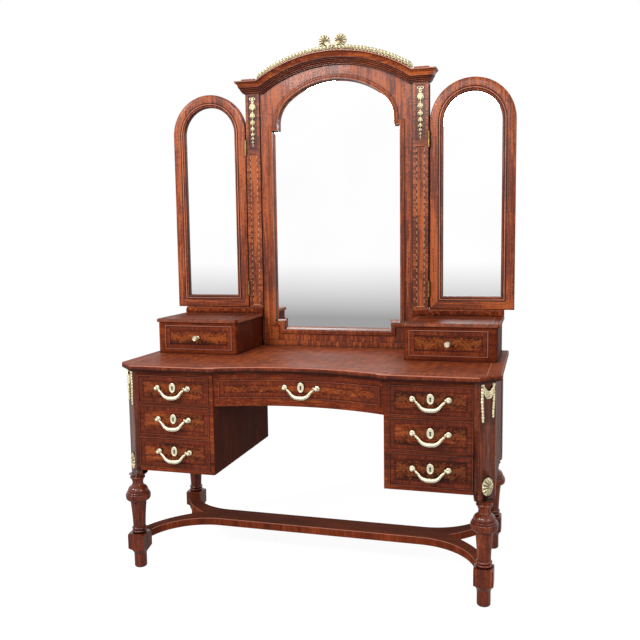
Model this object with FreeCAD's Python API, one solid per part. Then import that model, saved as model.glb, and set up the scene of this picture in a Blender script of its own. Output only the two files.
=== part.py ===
"""Dressing table with two pedestals, a bowed kneehole front, turned legs and three mirrors.

Millimetres, +Z up. The origin is on the floor at the middle of the table, the front faces -Y,
and the table is symmetric about X = 0.
"""
import FreeCAD
import Part

import math
import os

# Height of the base, stacked up from the floor
foot_radius = 22.5
foot_height = 50.0
foot_rim = 6.0
foot_cove_height = 20.0
block_height = 62.0
block_chamfer = 5.0
ring_height = 11.0
ring_radius = 26.0
column_foot_radius = 22.0
column_head_radius = 29.0
bulb_foot_height = 8.0
bulb_foot_radius = 38.0
bulb_belly_height = 13.0
bulb_radius = 44.5
bulb_dome_height = 29.0
bulb_shoulder_radius = 26.0
bulb_shoulder_height = 10.0
bulb_steps = 3
cove_steps = 2
neck_radius = 20.0
neck_height = 8.0
neck_flare_height = 16.0
collar_radius = 27.0
collar_height = 9.0
collar_gap = 7.0
post_drop = 26.0
post_end_chamfer = 7.0
post_stub_radius = 25.0
case_bottom = 376.0

# Corner posts, canted at the front
post_width = 65.0
post_cant = 47.5

# Pedestals
kneehole_half_width = 300.0
inner_side_thickness = 15.0
drawer_opening_width = 273.5
bottom_thickness = 13.0
lower_opening = 112.0
middle_opening = 109.0
upper_opening = 102.0
rail_thickness = 6.0
rail_depth = 40.0
top_rail_height = 17.0
outer_side_thickness = 16.0
outer_side_recess = 3.0
case_back_thickness = 8.0
case_back_recess = 4.5
guide_width = 10.0
guide_height = 20.0
case_depth = 551.0

# Top
top_thickness = 19.0
top_front_overhang = 25.5
top_back_overhang = 31.5
top_side_overhang = 17.5
top_edge_chamfer = 3.0
top_lower_chamfer = 2.0
top_cant_leg = 65.0
bow_depth = 70.0
bow_shoulder_radius = 26.0
bow_cove_radius = 20.0
bow_shoulder_turn = 60.0

# Centre frieze between the pedestals
frieze_depth = 121.0
frieze_bow_end = 6.5
frieze_bow_depth = 66.5
frieze_board = 20.0
frieze_top_rail = 28.0
frieze_bottom_rail = 27.0
frieze_stile_width = 14.0
frieze_dust_thickness = 8.0
frieze_back_thickness = 18.0

# Drawers
drawer_side_gap = 1.0
drawer_run_gap = 0.3
drawer_front_thickness = 20.0
drawer_side_thickness = 10.0
drawer_bottom_thickness = 6.0
drawer_bottom_rise = 8.0
drawer_side_headroom = 6.0
drawer_back_space = 61.0
centre_drawer_back_space = 71.0
bead_width = 4.5
bead_proud = 3.0
bead_chamfer = 1.2

# Drop handles, keyhole plates and locks
handle_half_span = 58.0
handle_rise = 6.0
handle_reach = 15.0
handle_ball_radius = 7.5
handle_rosette_radius = 9.0
handle_rosette_thickness = 2.5
handle_neck_radius = 4.0
handle_pin_radius = 1.9
handle_pin_clearance = 0.1
handle_pin_depth = 4.0
bail_end_gap = 0.4
bail_end_radius = 4.5
bail_drop = 32.5
bail_slim_radius = 2.6
bail_thick_radius = 5.4
keyhole_half_width = 11.5
keyhole_half_height = 17.0
keyhole_plate_thickness = 2.0
keyhole_rise = 8.0
key_round_radius = 2.6
key_slot_width = 2.6
key_slot_drop = 8.0
lock_width = 50.0
lock_height = 34.0
lock_thickness = 8.0

# Stretcher
stretcher_thickness = 28.0
stretcher_bar_width = 100.0
stretcher_arm_radius = 211.0
stretcher_arm_end = 42.0
stretcher_end_inset = 1.5
stretcher_fork_reach = 93.0
stretcher_inner_bulge = 24.0

# Jewel boxes
jewel_inner_gap = 10.0
jewel_outer_inset = 25.5
jewel_depth = 306.0
jewel_height = 121.0
jewel_corner_radius = 15.0
jewel_inner_stile = 18.0
jewel_outer_stile = 31.0
jewel_bottom_rail = 15.0
jewel_top_rail = 11.0
jewel_front_thickness = 16.0
jewel_side_thickness = 12.0
jewel_back_thickness = 8.0
jewel_bottom_thickness = 12.0
jewel_drawer_back_gap = 36.0
lid_thickness = 12.0
lid_side_overhang = 8.0
lid_front_overhang = 6.0
lid_edge_chamfer = 3.5
back_rail_height = 19.0
back_rail_step = 7.0
back_rail_step_depth = 6.0
back_rail_overhang = 7.5
knob_base_radius = 8.0
knob_base_thickness = 3.0
knob_stem_radius = 3.5
knob_radius = 9.0
knob_reach = 29.0

# Centre mirror
frame_thickness = 24.0
frame_back_inset = 4.0
frame_half_width = 308.0
frame_rebate = 8.0
glass_thickness = 4.0
glass_setback = 12.0
glass_gap = 1.0
sight_bottom = 68.0
sight_notch_width = 37.5
sight_notch_height = 34.0
frame_stile_width = 49.5
sight_ear_drop = 195.0
sight_ear_width = 23.5
sight_spring_drop = 170.0
sight_arch_rise = 161.0
sight_arch_side_radius = 120.0
moulding_width = 17.0
moulding_proud = 6.0
foot_rail_height = 22.0
foot_rail_proud = 6.0
foot_rail_chamfer = 3.0
pilaster_proud = 7.0
pilaster_width = 59.0
pilaster_border = 13.0
pilaster_recess = 2.5
pilaster_drop_length = 218.0
pilaster_band = 16.0

# Cornice
arch_rise = 92.0
arch_end_reach = 1.32
cornice_height = 48.0
cornice_top = 1060.0
cornice_reach = 34.0
cornice_lip = 9.0
cornice_neck_reach = 23.0
cornice_neck_height = 17.0
cornice_band_reach = 20.0
cornice_band_height = 36.0
cornice_foot_reach = 3.0
cap_board_thickness = 7.0
cap_board_inset = 8.0
cap_board_overhang = 6.0
cap_board_depth = 36.0

# Garland and bow
garland_height = 19.0
garland_width = 18.0
garland_front = 14.0
garland_end_gap = 4.3
garland_crown = 8.0
bow_loop_out = 33.0
bow_loop_up = 29.0
bow_loop_radius = 21.5
bow_loop_lobes = 6
bow_loop_start = -80.0
bow_loop_end = 200.0
bow_lobe_bulge = 3.0
bow_thickness = 8.0
bow_gap = 0.5
bow_knot_radius = 9.0

# Side mirrors
wing_gap = 5.0
wing_width = 318.0
wing_bottom = 157.0
wing_head_drop = 38.0
wing_border = 50.5
wing_thickness = 22.0
wing_glass_setback = 11.0
wing_bead_width = 12.0
wing_bead_proud = 4.0

# Side-mirror hinges
hinge_foot_inset = 78.0
hinge_head_inset = 220.0
hinge_half_length = 30.0
hinge_leaf_thickness = 2.0
hinge_leaf_depth = 32.0
hinge_knuckle_radius = 4.0
hinge_pin_radius = 2.0
hinge_pin_clearance = 0.1
hinge_knuckle_gap = 0.3
hinge_front_gap = 0.5
hinge_middle_share = 0.33

# Gilt mounts
swag_boss_radius = 6.0
swag_boss_thickness = 8.0
swag_top_drop = 12.0
swag_spread = 24.0
swag_depth = 56.0
swag_waist = 20.0
swag_steps = 4
swag_thickness = 5.0
swag_tail_length = 112.0
swag_tail_width = 9.0
swag_tail_tip = 4.0
shell_centre_height = 400.0
shell_half_width = 25.0
shell_half_height = 32.0
shell_lobes = 10
shell_lobe_bulge = 2.5
shell_thickness = 4.0
shell_boss_share = 0.45
shell_boss_thickness = 9.0
husk_thickness = 5.0
husk_half_widths = (11.0, 13.0, 12.0, 8.5, 7.0, 6.0, 5.0)
husk_half_heights = (14.0, 26.0, 20.0, 18.0, 15.0, 12.0, 7.0)
husk_overlap = 3.0
husk_shoulder_share = 0.5
husk_top_gap = 5.0

# Facets of the small turnings and shares of the turned rings
leg_sides = 12
small_turning_sides = 8
pin_sides = 8
bail_sides = 6
ring_flat_share = 0.3
ball_flat_share = 0.4
key_plate_sides = 12

# Flats that stand for hidden or small round outlines
wing_arch_sides = 16
rebate_sides = 6
jewel_corner_sides = 4
panel_foot_sides = 6

# Two places closer than this count as one
same_place = 0.01

# One overrun for cuts that run out of a solid
overrun = 10.0

# Places worked out from the sizes above
block_bottom = foot_height + foot_cove_height
block_top = block_bottom + block_height
post_bottom = case_bottom - post_drop
opening_inner = kneehole_half_width + inner_side_thickness
opening_outer = opening_inner + drawer_opening_width
post_inner = opening_outer
post_outer = post_inner + post_width
leg_x = post_inner + post_width / 2
drawer_length = case_depth - drawer_back_space
centre_drawer_length = case_depth - centre_drawer_back_space
lower_floor = case_bottom + bottom_thickness
middle_floor = lower_floor + lower_opening + rail_thickness
upper_floor = middle_floor + middle_opening + rail_thickness
rail_underside = upper_floor + upper_opening
case_top = rail_underside + top_rail_height
table_height = case_top + top_thickness
top_half_width = post_outer + top_side_overhang
top_depth = top_front_overhang + case_depth + top_back_overhang
top_front = -top_depth / 2
top_back = top_depth / 2
frame_back = top_back - frame_back_inset
frame_front = frame_back - frame_thickness
case_front = top_front + top_front_overhang
case_back = case_front + case_depth
front_leg_y = case_front + post_width / 2
rear_leg_y = case_back - post_width / 2
stretcher_y = (front_leg_y + rear_leg_y) / 2
frieze_bottom = case_top - frieze_depth
frieze_floor = frieze_bottom + frieze_bottom_rail
frieze_ceiling = case_top - frieze_top_rail
lid_bottom = table_height + jewel_height
lid_top = lid_bottom + lid_thickness
jewel_inner = frame_half_width + jewel_inner_gap
jewel_outer = top_half_width - jewel_outer_inset
jewel_drawer_length = jewel_depth - jewel_back_thickness - jewel_drawer_back_gap
back_rail_outer = jewel_outer + back_rail_overhang
jewel_front = frame_back - jewel_depth
sight_ear_height = cornice_top - sight_ear_drop
sight_spring_height = cornice_top - sight_spring_drop
sight_half_width = frame_half_width - frame_stile_width
sight_bottom_half_width = sight_half_width - sight_notch_width
sight_arch_half_width = sight_half_width - sight_ear_width
pilaster_outer = frame_half_width + pilaster_width
pilaster_bottom = lid_top + back_rail_height
pilaster_front = frame_front - pilaster_proud
cornice_z = table_height + cornice_top
pilaster_top = cornice_z - cornice_height
arch_half_chord = frame_half_width + arch_end_reach
arch_apex = cornice_top + arch_rise
arch_radius = (arch_half_chord ** 2 + arch_rise ** 2) / (2 * arch_rise)
arch_centre_z = table_height + arch_apex - arch_radius
cap_board_outer = pilaster_outer + cap_board_overhang
garland_end = arch_half_chord - garland_end_gap
wing_inner = pilaster_outer + wing_gap
hinge_x = (pilaster_outer + wing_inner) / 2
hinge_y = pilaster_front - hinge_front_gap - hinge_knuckle_radius
wing_height = cornice_top - wing_head_drop - wing_bottom
hinge_heights = (wing_bottom + hinge_foot_inset, wing_bottom + wing_height - hinge_head_inset)
wing_radius = wing_width / 2
wing_x = wing_inner + wing_radius
wing_z = table_height + wing_bottom
wing_spring = wing_z + wing_height - wing_radius


def point(x, y, z):
    return FreeCAD.Vector(x, y, z)


def in_plan(z):
    """Places an outline drawn in X and Y at a height."""
    return lambda x, y: point(x, y, z)


def in_front(y):
    """Places an outline drawn in X and Z at a depth."""
    return lambda x, z: point(x, y, z)


def in_side(x):
    """Places an outline drawn in Y and Z at a width."""
    return lambda y, z: point(x, y, z)


def wire_of(steps, place):
    """Closed wire: a step of two numbers is a corner, one of four an arc by its middle and end."""
    edges = []
    here = steps[0]
    for step in list(steps[1:]) + [steps[0]]:
        end = step[-2:]
        if len(step) == 4:
            edges.append(Part.Arc(place(*here), place(*step[:2]), place(*end)).toShape())
        elif math.dist(here, end) > 0:
            edges.append(Part.LineSegment(place(*here), place(*end)).toShape())
        here = end
    return Part.Wire(edges)


def flatted(steps, count):
    """Outline whose arcs, each at most a half turn, are divided into straight runs."""
    outline = [steps[0]]
    for step in steps[1:]:
        if len(step) == 2:
            outline.append(step)
            continue
        start = outline[-1]
        middle = step[:2]
        end = step[2:]
        span = math.dist(start, end)
        foot = [(a + b) / 2 for a, b in zip(start, end)]
        height = math.dist(foot, middle)
        radius = (height ** 2 + span ** 2 / 4) / (2 * height)
        centre = [m + (f - m) * radius / height for m, f in zip(middle, foot)]
        first = math.atan2(start[1] - centre[1], start[0] - centre[0])
        half_turn = math.asin(min(1, span / (2 * radius)))
        side = (end[0] - start[0]) * (middle[1] - start[1]) - (end[1] - start[1]) * (middle[0] - start[0])
        turn = math.copysign(2 * half_turn, -side)
        for index in range(1, count + 1):
            angle = first + turn * index / count
            outline.append((centre[0] + radius * math.cos(angle), centre[1] + radius * math.sin(angle)))
    return outline


def plate(steps, place, x=0, y=0, z=0):
    """Solid swept straight from a closed outline."""
    return Part.Face(wire_of(steps, place)).extrude(point(x, y, z))


def board(x0, x1, y0, y1, z0, z1):
    return Part.makeBox(x1 - x0, y1 - y0, z1 - z0, point(x0, y0, z0))


def ring(radius, centre, across, beside, sides):
    """Corners of a regular polygon round a centre, in the plane of two unit directions."""
    corners = []
    for index in range(sides):
        angle = math.pi * (2 * index + 1) / sides
        corners.append(centre + across * (radius * math.cos(angle)) + beside * (radius * math.sin(angle)))
    return corners


def flat_sided(rings):
    """Closed solid with flat facets between rings of corners."""
    faces = [Part.Face(Part.makePolygon(corners + corners[:1])) for corners in (rings[0], rings[-1])]
    for low, high in zip(rings, rings[1:]):
        for index in range(len(low)):
            after = (index + 1) % len(low)
            for corners in ((low[index], low[after], high[after]), (low[index], high[after], high[index])):
                faces.append(Part.Face(Part.makePolygon(corners + corners[:1])))
    return Part.Solid(Part.makeShell(faces)).removeSplitter()


def turned(steps, start, direction, sides):
    """Turned piece with flat facets, from steps of radius and distance along one of the table's axes."""
    across = point(direction.y, direction.z, direction.x)
    beside = direction.cross(across)
    return flat_sided([ring(radius, start + direction * distance, across, beside, sides) for radius, distance in steps])


def pin(radius, start, direction, length):
    return turned([(radius, 0), (radius, length)], start, direction, pin_sides)


def pin_hole(radius, start, direction, length):
    """Hole whose flats stay outside a radius, so that a pin of that radius turns in it."""
    return pin(radius / math.cos(math.pi / pin_sides), start, direction, length)


def quarter(start, end, centre, count):
    """Corners of a swell round a centre, after a start that is already in the outline."""
    corners = []
    for index in range(1, count + 1):
        turn = math.pi / 2 * index / count
        corners.append(
            tuple(c + (a - c) * math.cos(turn) + (b - c) * math.sin(turn) for a, b, c in zip(start, end, centre))
        )
    return corners


def ring_steps(waist, radius, low, height):
    """Corners of a turned ring above a waist."""
    return [
        (waist, low),
        (radius, low + height * ring_flat_share),
        (radius, low + height * (1 - ring_flat_share)),
        (waist, low + height),
    ]


def mirrored(shape):
    return shape.mirror(point(0, 0, 0), point(1, 0, 0))


def group(solids):
    return Part.makeCompound(list(solids))


def on_both_sides(solids):
    return list(solids) + [mirrored(solid) for solid in solids]


def edges_at(shape, axis, value):
    """Edges of a shape that lie wholly in one plane square to an axis."""
    found = []
    for edge in shape.Edges:
        box = edge.BoundBox
        low = {"x": box.XMin, "y": box.YMin, "z": box.ZMin}[axis]
        high = {"x": box.XMax, "y": box.YMax, "z": box.ZMax}[axis]
        if abs(low - value) < same_place and abs(high - value) < same_place:
            found.append(edge)
    return found


def bow_y(x, centre_y, depth, half_width):
    """Depth at a width on a bow that is deepest in the middle of the table."""
    radius = (half_width ** 2 + depth ** 2) / (2 * depth)
    return centre_y - radius + math.sqrt(radius ** 2 - x ** 2)


def leg_profile():
    """Half outline of the turning between the block and the underside of the post."""
    waist = column_foot_radius
    ring_high = block_top + ring_height
    collar_low = post_bottom - collar_gap - collar_height
    neck_high = collar_low - neck_flare_height
    neck_low = neck_high - neck_height
    dome_top = (bulb_shoulder_radius, neck_low - bulb_shoulder_height)
    belly = (bulb_radius, dome_top[1] - bulb_dome_height)
    belly_foot = (bulb_foot_radius, belly[1] - bulb_belly_height)
    collar_waist = collar_radius - collar_height / 2
    steps = ring_steps(waist, ring_radius, block_top, ring_height)
    steps += ring_steps(waist, ring_radius, ring_high, ring_height)[1:]
    steps += [(column_head_radius, belly_foot[1] - bulb_foot_height), belly_foot]
    steps.append(belly)
    steps += quarter(belly, dome_top, (dome_top[0], belly[1]), bulb_steps)
    steps += [(neck_radius, neck_low), (neck_radius, neck_high)]
    steps += ring_steps(collar_waist, collar_radius, collar_low, collar_height)
    return steps + [(collar_waist, post_bottom + post_end_chamfer)]


def foot_profile():
    """Half outline of the round foot and the cove below the block."""
    flare = post_width / 2 - block_chamfer
    cove_start = (foot_radius, foot_height)
    cove_end = (flare, block_bottom)
    steps = [(foot_radius - foot_rim, 0), (foot_radius, foot_rim), cove_start]
    return steps + quarter(cove_start, cove_end, (cove_end[0], cove_start[1]), cove_steps)


def leg(y, canted):
    """Corner post and turned leg, worked from one length of wood."""
    half = post_width / 2
    if canted:
        post_steps = [
            (post_inner, y - half),
            (post_outer - post_cant, y - half),
            (post_outer, y - half + post_cant),
            (post_outer, y + half),
            (post_inner, y + half),
        ]
    else:
        post_steps = [(post_inner, y - half), (post_outer, y - half), (post_outer, y + half), (post_inner, y + half)]
    post = plate(post_steps, in_plan(post_bottom), z=case_top - post_bottom)
    post = post.makeChamfer(post_end_chamfer, edges_at(post, "z", post_bottom))
    block = board(leg_x - half, leg_x + half, y - half, y + half, block_bottom, block_top)
    ends = edges_at(block, "z", block_bottom) + edges_at(block, "z", block_top)
    block = block.makeChamfer(block_chamfer, ends)
    upper = turned(leg_profile(), point(leg_x, y, 0), point(0, 0, 1), leg_sides)
    lower = turned(foot_profile(), point(leg_x, y, 0), point(0, 0, 1), leg_sides)
    return post.fuse([block, upper, lower])


def top_outline():
    """Plan of the slab: canted front corners and a serpentine recess over the kneehole."""
    straight_end = kneehole_half_width
    turn = math.radians(bow_shoulder_turn)
    low, high = 0.0, turn
    for _ in range(40):
        heading = (low + high) / 2
        end_x = straight_end - bow_shoulder_radius * math.sin(turn)
        end_x -= bow_cove_radius * (math.sin(turn) - math.sin(heading))
        end_y = bow_shoulder_radius * (1 - math.cos(turn)) + bow_cove_radius * (math.cos(heading) - math.cos(turn))
        if end_y + end_x * math.tan(heading / 2) < bow_depth:
            low = heading
        else:
            high = heading
    shoulder = (
        straight_end - bow_shoulder_radius * math.sin(turn),
        top_front + bow_shoulder_radius * (1 - math.cos(turn)),
    )
    shoulder_mid = (
        straight_end - bow_shoulder_radius * math.sin(turn / 2),
        top_front + bow_shoulder_radius * (1 - math.cos(turn / 2)),
    )
    middle = (turn + heading) / 2
    cove_mid = (
        shoulder[0] - bow_cove_radius * (math.sin(turn) - math.sin(middle)),
        shoulder[1] + bow_cove_radius * (math.cos(middle) - math.cos(turn)),
    )
    cove_end = (end_x, top_front + end_y)
    front_cant = top_half_width - top_cant_leg
    return [
        (top_half_width, top_back),
        (-top_half_width, top_back),
        (-top_half_width, top_front + top_cant_leg),
        (-front_cant, top_front),
        (-straight_end, top_front),
        (-shoulder_mid[0], shoulder_mid[1], -shoulder[0], shoulder[1]),
        (-cove_mid[0], cove_mid[1], -cove_end[0], cove_end[1]),
        (0, top_front + bow_depth, cove_end[0], cove_end[1]),
        (cove_mid[0], cove_mid[1], shoulder[0], shoulder[1]),
        (shoulder_mid[0], shoulder_mid[1], straight_end, top_front),
        (front_cant, top_front),
        (top_half_width, top_front + top_cant_leg),
    ]


def top_slab():
    slab = plate(top_outline(), in_plan(case_top), z=top_thickness)
    slab = slab.makeChamfer(top_edge_chamfer, edges_at(slab, "z", table_height))
    return slab.makeChamfer(top_lower_chamfer, edges_at(slab, "z", case_top))


def pedestal_case():
    """Boards of the right pedestal."""
    side_outer = post_outer - outer_side_recess
    side_inner = side_outer - outer_side_thickness
    between_front = front_leg_y + post_width / 2
    between_back = rear_leg_y - post_width / 2
    back_face = case_back - case_back_recess
    back_inner = back_face - case_back_thickness
    boards = [
        board(kneehole_half_width, opening_inner, case_front, case_back, case_bottom, case_top),
        board(side_inner, side_outer, between_front, between_back, case_bottom, case_top),
        board(opening_inner, post_inner, back_inner, back_face, case_bottom, case_top),
    ]
    bottom_steps = [
        (opening_inner, case_front),
        (post_inner, case_front),
        (post_inner, between_front),
        (side_inner, between_front),
        (side_inner, between_back),
        (post_inner, between_back),
        (post_inner, back_inner),
        (opening_inner, back_inner),
    ]
    boards.append(plate(bottom_steps, in_plan(case_bottom), z=bottom_thickness))
    rail_back = case_front + rail_depth
    boards.append(board(opening_inner, post_inner, case_front, rail_back, rail_underside, case_top))
    boards.append(board(opening_inner, post_inner, back_inner - rail_depth, back_inner, rail_underside, case_top))
    for floor in (middle_floor, upper_floor):
        under = floor - rail_thickness
        boards.append(board(opening_inner, post_inner, case_front, rail_back, under, floor))
        boards.append(board(opening_inner, post_inner, rail_back, back_inner, under, floor))
    for floor in (lower_floor, middle_floor, upper_floor):
        boards.append(board(post_inner, post_inner + guide_width, between_front, between_back, floor, floor + guide_height))
    for floor in (middle_floor, upper_floor):
        boards.append(board(post_inner, side_inner, between_front, between_back, floor - rail_thickness, floor))
    return boards


def flat_front(x):
    """Face of the pedestal drawers, the same at every width."""
    return case_front


def frieze_curve(x, setback=0):
    """Front of the bowed frieze at a width, set back by a depth."""
    return bow_y(x, case_front + frieze_bow_depth, frieze_bow_depth - frieze_bow_end, kneehole_half_width) + setback


def bowed_band(half_width, front_setback, back_setback, z0, z1, inner=None):
    """Board that follows the bow, whole or, with an inner width, only its right end."""
    if inner is None:
        steps = [
            (-half_width, frieze_curve(half_width, front_setback)),
            (0, frieze_curve(0, front_setback), half_width, frieze_curve(half_width, front_setback)),
            (half_width, frieze_curve(half_width, back_setback)),
            (0, frieze_curve(0, back_setback), -half_width, frieze_curve(half_width, back_setback)),
        ]
    else:
        middle = (inner + half_width) / 2
        steps = [
            (inner, frieze_curve(inner, front_setback)),
            (middle, frieze_curve(middle, front_setback), half_width, frieze_curve(half_width, front_setback)),
            (half_width, frieze_curve(half_width, back_setback)),
            (middle, frieze_curve(middle, back_setback), inner, frieze_curve(inner, back_setback)),
        ]
    return plate(steps, in_plan(z0), z=z1 - z0)


def frieze():
    """Bowed rails and stiles between the pedestals, with the boards that carry the centre drawer."""
    half = kneehole_half_width
    stile_inner = half - frieze_stile_width
    rail_back = frieze_curve(0, frieze_board)
    rail = [
        (-half, rail_back),
        (-half, frieze_curve(half)),
        (0, frieze_curve(0), half, frieze_curve(half)),
        (half, rail_back),
    ]
    solids = [
        plate(rail, in_plan(frieze_ceiling), z=case_top - frieze_ceiling),
        plate(rail, in_plan(frieze_bottom), z=frieze_floor - frieze_bottom),
    ]
    solids += on_both_sides([bowed_band(half, 0, frieze_board, frieze_floor, frieze_ceiling, stile_inner)])
    back_inner = case_back - frieze_back_thickness
    solids.append(board(-half, half, back_inner, case_back, frieze_bottom, case_top))
    solids.append(board(-half, half, rail_back, back_inner, frieze_floor - frieze_dust_thickness, frieze_floor))
    guide = board(
        half - frieze_stile_width,
        half,
        frieze_curve(half, frieze_board),
        back_inner,
        frieze_floor,
        frieze_floor + guide_height,
    )
    return solids + on_both_sides([guide])


def bead_frame(x0, x1, z0, z1, face_y):
    """Cockbead: a rounded rim that stands proud round a drawer front."""
    rim = board(x0, x1, face_y - bead_proud, face_y, z0, z1)
    hole = board(x0 + bead_width, x1 - bead_width, face_y - overrun, face_y + overrun, z0 + bead_width, z1 - bead_width)
    rim = rim.cut(hole)
    return rim.makeChamfer(bead_chamfer, edges_at(rim, "y", face_y - bead_proud))


def drawer_box(x0, x1, front_y, back_y, floor, ceiling):
    """Two sides, a back and a bottom let in between them, open at the top."""
    low = floor + drawer_run_gap
    high = ceiling - drawer_side_headroom
    inner0 = x0 + drawer_side_thickness
    inner1 = x1 - drawer_side_thickness
    bottom = low + drawer_bottom_rise
    back_inner = back_y - drawer_side_thickness
    return [
        board(x0, inner0, front_y, back_y, low, high),
        board(inner1, x1, front_y, back_y, low, high),
        board(inner0, inner1, back_inner, back_y, bottom, high),
        board(inner0, inner1, front_y, back_inner, bottom, bottom + drawer_bottom_thickness),
    ]


def pedestal_drawer(floor, opening):
    """Front and box of one drawer of the right pedestal."""
    x0 = opening_inner + drawer_side_gap
    x1 = opening_outer - drawer_side_gap
    z0 = floor + drawer_side_gap
    z1 = floor + opening - drawer_side_gap
    back = case_front + drawer_front_thickness
    front = [board(x0, x1, case_front, back, z0, z1).fuse(bead_frame(x0, x1, z0, z1, case_front))]
    box = drawer_box(x0, x1, back, case_front + drawer_length, floor, floor + opening)
    return front, box


def centre_drawer():
    """Bowed front and square box of the drawer over the kneehole."""
    half = kneehole_half_width - frieze_stile_width - drawer_side_gap
    z0 = frieze_floor + drawer_side_gap
    z1 = frieze_ceiling - drawer_side_gap
    front = bowed_band(half, 0, drawer_front_thickness, z0, z1)
    window_half = half - bead_width
    bead = bowed_band(half, -bead_proud, 0, z0, z1).cut(
        bowed_band(window_half, -overrun, overrun, z0 + bead_width, z1 - bead_width)
    )
    back_y = case_front + centre_drawer_length
    solids = []
    low = frieze_floor + drawer_run_gap
    high = frieze_ceiling - drawer_side_headroom
    inner = half - drawer_side_thickness
    side = plate(
        [
            (inner, frieze_curve(inner, drawer_front_thickness)),
            (half, frieze_curve(half, drawer_front_thickness)),
            (half, back_y),
            (inner, back_y),
        ],
        in_plan(low),
        z=high - low,
    )
    solids += on_both_sides([side])
    bottom = low + drawer_bottom_rise
    back_inner = back_y - drawer_side_thickness
    solids.append(board(-inner, inner, back_inner, back_y, bottom, high))
    floor_steps = [
        (-inner, back_inner),
        (-inner, frieze_curve(inner, drawer_front_thickness)),
        (0, frieze_curve(0, drawer_front_thickness), inner, frieze_curve(inner, drawer_front_thickness)),
        (inner, back_inner),
    ]
    solids.append(plate(floor_steps, in_plan(bottom), z=drawer_bottom_thickness))
    return [front.fuse(bead)], solids


def handle_post(x, z, face_y, pivot_y, side):
    """Rosette, neck and ball that carry one end of a bail; side is 1 at the right end."""
    reach = face_y - pivot_y
    ball_flat = handle_ball_radius * ball_flat_share
    steps = [
        (handle_rosette_radius, 0),
        (handle_neck_radius, handle_rosette_thickness),
        (handle_neck_radius, reach - handle_ball_radius),
        (handle_ball_radius, reach - ball_flat),
        (handle_ball_radius, reach + ball_flat),
        (handle_neck_radius, reach + handle_ball_radius),
    ]
    post = turned(steps, point(x, face_y, z), point(0, -1, 0), small_turning_sides)
    bore_start = point(x - side * handle_ball_radius, pivot_y, z)
    depth = handle_pin_depth + bail_end_gap
    bore = pin_hole(handle_pin_radius + handle_pin_clearance, bore_start, point(side, 0, 0), depth)
    return post.cut(bore)


def key_plate(x, z, face_y):
    """Oval plate with a keyhole."""
    rim = []
    for index in range(key_plate_sides):
        angle = 2 * math.pi * index / key_plate_sides
        rim.append((x + keyhole_half_width * math.cos(angle), z + keyhole_half_height * math.sin(angle)))
    disc = plate(rim, in_front(face_y), y=-keyhole_plate_thickness)
    half_slot = key_slot_width / 2
    hole = [
        (x - half_slot, z + key_round_radius - key_slot_drop),
        (x + half_slot, z + key_round_radius - key_slot_drop),
        (x + half_slot, z),
        (x + key_round_radius, z + key_round_radius),
        (x, z + 2 * key_round_radius),
        (x - key_round_radius, z + key_round_radius),
        (x - half_slot, z),
    ]
    return disc.cut(plate(hole, in_front(face_y - overrun), y=2 * overrun))


def seat(face_at, offset, half_width):
    """Most forward depth of a front's face over the width of a piece that sits on it."""
    return min(face_at(offset - half_width), face_at(offset + half_width))


def pivot_depth(face_at):
    """Depth of the pins that a bail turns on."""
    return seat(face_at, handle_half_span, handle_rosette_radius) - handle_reach


def fittings(x, opening_middle, face_at):
    """Posts, keyhole plate and lock of one drawer; face_at gives the front's face at a width."""
    z = opening_middle + handle_rise
    key_z = opening_middle + keyhole_rise
    solids = []
    for side in (-1, 1):
        offset = side * handle_half_span
        face_y = seat(face_at, offset, handle_rosette_radius)
        solids.append(handle_post(x + offset, z, face_y, pivot_depth(face_at), side))
    solids.append(key_plate(x, key_z, seat(face_at, 0, keyhole_half_width)))
    lock_y = face_at(0) + drawer_front_thickness
    lock_half = lock_height / 2
    lock = board(
        x - lock_width / 2,
        x + lock_width / 2,
        lock_y,
        lock_y + lock_thickness,
        key_z - lock_half,
        key_z + lock_half,
    )
    return solids + [lock]


def bail(x, opening_middle, face_at):
    """Swinging bail: slim ends with knuckles and pins, thick in the middle."""
    z = opening_middle + handle_rise
    pivot_y = pivot_depth(face_at)
    end = handle_half_span - handle_ball_radius - bail_end_gap - bail_end_radius
    width_shares = (1.0, 1.0, 0.9, 0.66, 0.46, 0.24, 0.0)
    drop_shares = (-0.12, 0.0, 0.16, 0.42, 0.74, 0.95, 1.0)
    radii = [bail_end_radius / 2, bail_end_radius, bail_slim_radius]
    for girth in (0.3, 0.72, 0.95, 1.0):
        radii.append(bail_slim_radius + girth * (bail_thick_radius - bail_slim_radius))
    right = [point(x + w * end, pivot_y, z - d * bail_drop) for w, d in zip(width_shares, drop_shares)]
    left = [point(2 * x - place.x, place.y, place.z) for place in right]
    course = left + right[-2::-1]
    girths = radii + radii[-2::-1]
    rings = []
    beside = point(0, 1, 0)
    for index, radius in enumerate(girths):
        before = course[max(index - 1, 0)]
        after = course[min(index + 1, len(course) - 1)]
        across = beside.cross(after - before).normalize()
        rings.append(ring(radius, course[index], across, beside, bail_sides))
    body = flat_sided(rings)
    for side in (-1, 1):
        length = bail_end_radius + bail_end_gap + handle_pin_depth
        body = body.fuse(pin(handle_pin_radius, point(x + side * end, pivot_y, z), point(side, 0, 0), length))
    return body


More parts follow.
